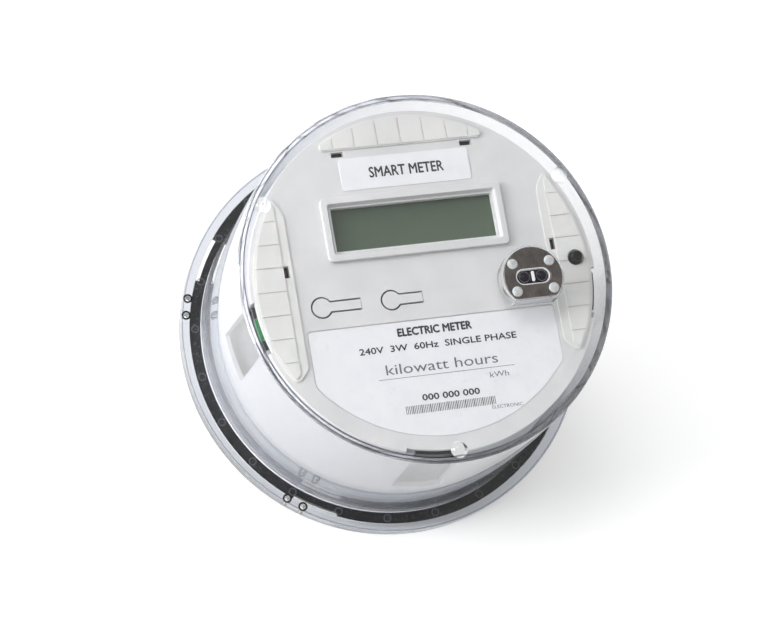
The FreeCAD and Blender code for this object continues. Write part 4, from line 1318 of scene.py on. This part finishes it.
@dataclass
class Boards:
    """Both printed boards and what is mounted on them."""

    top: float = 45.6
    transformer: Triple = (26.0, 22.0, 20.0)
    transformer_at: Pair = (-30.0, 22.0)
    sheets: int = 14
    sheet_pitch: float = 0.9
    sheet_share: float = 0.86
    chip_at: Pair = (8.0, 12.0)
    chip_side: float = 9.4
    chip_leads: int = 12
    lead_pitch: float = 0.65
    lead_bends: tuple = ((4.9, 0.5, 0.7, 0.2), (5.15, 0.25, 0.1, 0.8), (5.5, 0.8, 0.0, 0.2))
    dimple: Pair = (0.5, 0.75)
    dimple_in: float = 3.4
    shield: Triple = (30.0, 24.0, 4.0)
    shield_at: Pair = (36.0, 20.0)
    antenna: Triple = (1.0, 44.0, 20.0)
    antenna_at: Pair = (56.0, 0.0)
    header: Pair = (30.0, 5.0)
    header_up: float = -55.0
    header_top: float = 80.4
    header_pins: int = 11
    housing_deep: float = 9.0
    pin_pitch: float = 2.54
    pin_thick: float = 0.64
    rungs: int = 11
    rung_pitch: float = 3.6
    small_rows: Pair = (-18.5, -23.0)
    small_columns: tuple = (-44, -39, -34, -29, -24, -19, -14, -9, -4, 1, 6, 11)

    def make(self) -> None:
        """Make the parts on the boards and dress the rest."""
        dress(BOARD, "display_board", "metering_board")
        dress(PART_BLACK, "button_switches")
        dress(SLEEVE, "filter_capacitors", "backup_capacitor")
        dress(VARISTOR_BLUE, "surge_varistors")
        self.make_transformer()
        self.make_chip()
        self.make_radio()
        self.make_header()
        self.make_small_parts()

    def make_transformer(self) -> None:
        """Make the power transformer: stacked sheets, and a taped winding on its bobbin."""
        wide, high, deep = self.transformer
        place = (*self.transformer_at, 0)
        core = Work("transformer_core")
        start = self.top + (deep - self.sheets * self.sheet_pitch) / 2
        windows = [Outline(4.6, high - 8, side * 7.0) for side in SIDES]
        for sheet in range(self.sheets):
            rear = start + sheet * self.sheet_pitch
            front = rear + self.sheet_pitch * self.sheet_share
            core.add(plate(Outline(wide, high, corner=0.4), rear, front, holes=windows), place)
        core.done("meter", "transformer_core", CORE, ["power_transformer"])
        winding = plate(Outline(wide - 8.2, high - 8.6, corner=2.6), self.top + 1.6,
                        self.top + deep - 1.2, 0.6, True)
        Work("transformer_winding").add(winding, place).done("meter", "coil_winding", TAPE)
        bobbin = Work("transformer_bobbin")
        for rear in (self.top + 0.3, self.top + deep - 1.4):
            bobbin.add(plate(Outline(wide - 5.0, high - 5.0, corner=1.0), rear, rear + 1.2, 0.2), place)
        bobbin.done("meter", "black_parts", PART_BLACK)

    def make_chip(self) -> None:
        """Make the metering chip: a moulded package with a pin-one dimple and leads on four sides."""
        x, y = self.chip_at
        package = Work("chip_package").add(block(self.chip_side, self.chip_side, 1.25, 0.18),
                                           (x, y, self.top + 0.15))
        package.add(tube(*self.dimple, self.top + 1.3, self.top + 1.45, steps=24),
                    (x - self.dimple_in, y + self.dimple_in, 0))
        package.done("meter", "black_parts", PART_BLACK, ["metering_chip"])
        leads = Work("chip_leads")
        for turn in (0, 90, 180, 270):
            for lead in range(self.chip_leads):
                along = (lead - (self.chip_leads - 1) / 2) * self.lead_pitch
                for reach, length, rear, depth in self.lead_bends:
                    spot = Matrix.Rotation(math.radians(turn), 4, "Z") @ Vector((reach, along, 0))
                    leads.add(block(length, 0.3, depth), (x + spot.x, y + spot.y, self.top + rear), turn)
        leads.done("meter", "tinned_copper", TINNED)

    def make_radio(self) -> None:
        """Make the radio's pierced shield can and the antenna with its copper track."""
        wide, high, deep = self.shield
        place, skin = (*self.shield_at, 0), Outline(wide, high, corner=1.0)
        holes = [Outline(radius=0.9, x=column * 4.0, y=row * 4.0, steps=20)
                 for column in range(-3, 4) for row in range(-2, 3) if (column + row) % 2 == 0]
        top = plate(skin, self.top + deep - 0.4, self.top + deep, 0.15, holes=holes)
        wall = plate(skin, self.top, self.top + deep - 0.35,
                     holes=[Outline(wide - 0.6, high - 0.6, corner=0.8)])
        can = Work("radio_can").add(top, place).add(wall, place)
        can.done("meter", "shield_can", SHIELD, ["radio_shield"])
        thin, tall, deep = self.antenna
        x, y = self.antenna_at
        strip = Work("antenna_board").add(block(thin, tall, deep, 0.15), (x, y, self.top))
        strip.done("meter", "green_board", BOARD, ["antenna_strip"])
        track = Work("antenna_track")
        side = x + thin / 2 + TOUCH
        for rung in range(self.rungs):
            up = y + (rung - (self.rungs - 1) / 2) * self.rung_pitch
            track.add(block(0.12, 0.8, deep - 5.0), (side, up, self.top + 2.5))
            if rung < self.rungs - 1:
                end = self.top + (2.5 if rung % 2 else deep - 3.3)
                track.add(block(0.12, self.rung_pitch, 0.8), (side, up + self.rung_pitch / 2, end))
        track.done("meter", "bare_copper", COPPER)

    def make_header(self) -> None:
        """Make the header between the boards: two notched housings and two rows of pins."""
        wide, high = self.header
        housings = Work("header_housings")
        for rear in (self.top, self.header_top - self.housing_deep):
            housings.add(block(wide, high, self.housing_deep, 0.3), (0, self.header_up, rear))
            for pin in range(self.header_pins + 1):
                notch = ((pin - self.header_pins / 2) * self.pin_pitch, self.header_up, rear + 1.0)
                housings.add(block(0.5, high + 0.3, self.housing_deep - 2.0), notch)
        housings.done("meter", "black_parts", PART_BLACK, ["board_header"])
        pins = Work("header_pins")
        for pin in range(self.header_pins):
            for side in SIDES:
                along = (pin - (self.header_pins - 1) / 2) * self.pin_pitch
                pins.add(block(self.pin_thick, self.pin_thick, self.header_top - self.top - 1.0, 0.1),
                         (along, self.header_up + side * self.pin_pitch / 2, self.top + 0.5))
        pins.done("meter", "tinned_copper", TINNED)

    def make_small_parts(self) -> None:
        """Make rows of small resistors and capacitors on the metering board."""
        bodies, ends = Work("small_part_bodies"), Work("small_part_ends")
        for row, up in enumerate(self.small_rows):
            for column, right in enumerate(self.small_columns):
                size = 2.0 if (column + row) % 3 else 3.2
                bodies.add(block(size - 0.7, 1.2, 0.6, 0.08), (right, up, self.top))
                for side in SIDES:
                    ends.add(block(0.4, 1.25, 0.65, 0.08), (right + side * (size / 2 - 0.2), up, self.top))
        bodies.done("meter", "black_parts", PART_BLACK)
        ends.done("meter", "tinned_copper", TINNED)


@dataclass
class Terminals:
    """Blades, bars, current sensors and the service switch."""

    lid: Triple = (76.0, 38.0, 19.0)
    lid_rib_pitch: float = 9.0

    def make(self) -> None:
        """Dress the blades, bars, sensors and switch."""
        dress(TINNED, "line_blade_left", "line_blade_right", "load_blade_left", "load_blade_right",
              "blade_pins")
        dress(COPPER, "line_bar_left", "line_bar_right", "load_bar_left", "load_bar_right",
              "contact_arm_left", "contact_arm_right")
        dress(SENSOR_CASE, "current_sensor_left", "current_sensor_right")
        dress(PART_BLACK, "switch_case", "switch_lid")
        dress(SLIDER_PLASTIC, "switch_slider")
        dress(COIL, "solenoid_coil")
        self.make_lid()

    def make_lid(self) -> None:
        """Make the ribs on the switch's lid, and its four slotted screws."""
        wide, high, top = self.lid
        rear = top - TOUCH
        ribs = Work("switch_lid_ribs")
        ribs.add(plate(Outline(wide - 2, high - 2, corner=2.0), rear, top + 0.8, 0.2,
                       holes=[Outline(wide - 5, high - 5, corner=1.0)]))
        for rib in range(-3, 4):
            ribs.add(block(1.2, high - 4.4, 0.75, 0.2), (rib * self.lid_rib_pitch, 0, rear))
        ribs.done("meter", "black_parts", PART_BLACK)
        spots = [(side * (wide / 2 - 5.2), level * (high / 2 - 5.0)) for side, level in CORNERS]
        screws = Work("switch_lid_screws")
        for spot in spots:
            head = turned([(0, rear), (2.0, rear), (2.0, top + 0.7), (1.5, top + 1.1), (0, top + 1.2)],
                          0.1, 32)
            screws.add(head, (*spot, 0))
        screws.carve(*(plate(Outline(3.2, 0.6, *spot), top + 0.7, top + 2) for spot in spots))
        screws.done("meter", "zinc_screws", ZINC)


# ---------------------------------------------------------------- studio
@dataclass
class Lamp:
    """A soft area light that faces the meter."""

    name: str
    place: Triple
    size: float
    power: float

    def hang(self) -> None:
        """Hang the lamp."""
        data = bpy.data.lights.new(self.name, "AREA")
        data.shape = "DISK"
        data.size = self.size
        data.energy = self.power
        lamp = bpy.data.objects.new(self.name, data)
        bpy.context.scene.collection.objects.link(lamp)
        lamp.location = self.place
        lamp.rotation_euler = (-Vector(self.place)).to_track_quat("-Z", "Y").to_euler()


@dataclass
class Studio:
    """Camera, pale floor and soft light."""

    camera_place: Triple = (-0.282668, -1.103262, -0.264182)
    azimuth: float = 14.549
    pitch: float = 13.508
    roll: float = -9.929
    lens: float = 125.233
    floor_size: float = 3.0
    floor_normal: Triple = (0.0, -0.85, 0.53)
    floor_point: Triple = (0.0, 0.0, -0.0886)
    world: Pair = (0.45, 0.95)
    world_span: Pair = (-0.9, 0.1)
    glow: float = 0.33
    bounces: int = 24
    lamps: tuple = (Lamp("key_lamp", (-1.86, -0.79, 0.41), 1.3, 38),
                    Lamp("fill_lamp", (-0.5, -1.5, 0.9), 0.9, 6))

    def aim(self) -> None:
        """Set the camera at its viewing angle."""
        turn, tip, lean = (math.radians(a) for a in (self.azimuth, self.pitch, self.roll))
        forward = Vector((math.sin(turn) * math.cos(tip), math.cos(turn) * math.cos(tip), math.sin(tip)))
        level = Vector((forward.y, -forward.x, 0)).normalized()
        upright = level.cross(forward)
        right = level * math.cos(lean) + upright * math.sin(lean)
        up = upright * math.cos(lean) - level * math.sin(lean)
        camera = bpy.data.cameras.new("camera")
        camera.lens = self.lens
        camera.clip_start = 0.01
        holder = bpy.data.objects.new("camera", camera)
        bpy.context.scene.collection.objects.link(holder)
        axes = Matrix((right, up, -forward)).transposed().to_4x4()
        holder.matrix_world = Matrix.Translation(self.camera_place) @ axes
        bpy.context.scene.camera = holder

    def lay_floor(self) -> None:
        """Lay the pale floor, which is clear from below so that other views see the meter."""
        bm = bmesh.new()
        bmesh.ops.create_grid(bm, x_segments=1, y_segments=1, size=self.floor_size / 2)
        turn = Vector(self.floor_normal).to_track_quat("Z", "Y").to_matrix().to_4x4()
        bm.transform(Matrix.Translation(self.floor_point) @ turn)
        mesh = bpy.data.meshes.new("floor")
        bm.to_mesh(mesh)
        bm.free()
        recipe = Recipe("floor_paper")
        paper = recipe.add("BsdfPrincipled", {
            "Base Color": (0.93, 0.93, 0.93, 1), "Roughness": 1.0, "Specular IOR Level": 0.0,
            "Emission Color": (1, 1, 1, 1), "Emission Strength": self.glow})
        clear = recipe.add("BsdfTransparent")
        side = recipe.add("NewGeometry")
        mesh.materials.append(recipe.close(recipe.add("MixShader", {
            0: side.outputs["Backfacing"], 1: paper.outputs[0], 2: clear.outputs[0]})))
        floor = bpy.data.objects.new("floor", mesh)
        bpy.context.scene.collection.objects.link(floor)

    def make(self) -> None:
        """Set up the whole studio."""
        self.aim()
        self.lay_floor()
        for lamp in self.lamps:
            lamp.hang()
        world = bpy.data.worlds.new("studio_world")
        world.use_nodes = True
        tree = world.node_tree
        back = tree.nodes["Background"]
        back.inputs["Color"].default_value = (1, 1, 1, 1)
        where = tree.nodes.new("ShaderNodeTexCoord")
        split = tree.nodes.new("ShaderNodeSeparateXYZ")
        fade = tree.nodes.new("ShaderNodeMapRange")
        limits = (*self.world_span, *self.world)
        for socket, value in zip(("From Min", "From Max", "To Min", "To Max"), limits):
            fade.inputs[socket].default_value = value
        tree.links.new(where.outputs["Generated"], split.inputs[0])
        tree.links.new(split.outputs["Y"], fade.inputs["Value"])
        tree.links.new(fade.outputs["Result"], back.inputs["Strength"])
        bpy.context.scene.world = world
        bpy.context.scene.view_settings.view_transform = "Standard"
        paths = bpy.context.scene.cycles
        paths.max_bounces = paths.glossy_bounces = paths.transmission_bounces = self.bounces
        paths.transparent_max_bounces = self.bounces


def build_meter() -> None:
    """Build the studio and every sub-assembly in order."""
    logging.basicConfig(level=logging.INFO, format="%(name)s: %(message)s")
    assemblies = (Studio(), ClearCover(), OpticalPort(), BlackBase(), Shroud(), Face(), Labels(), Display(),
                  Boards(), Terminals())
    for assembly in assemblies:
        assembly.make()
        log.info("%s finished", type(assembly).__name__)


if __name__ == "__main__":
    build_meter()
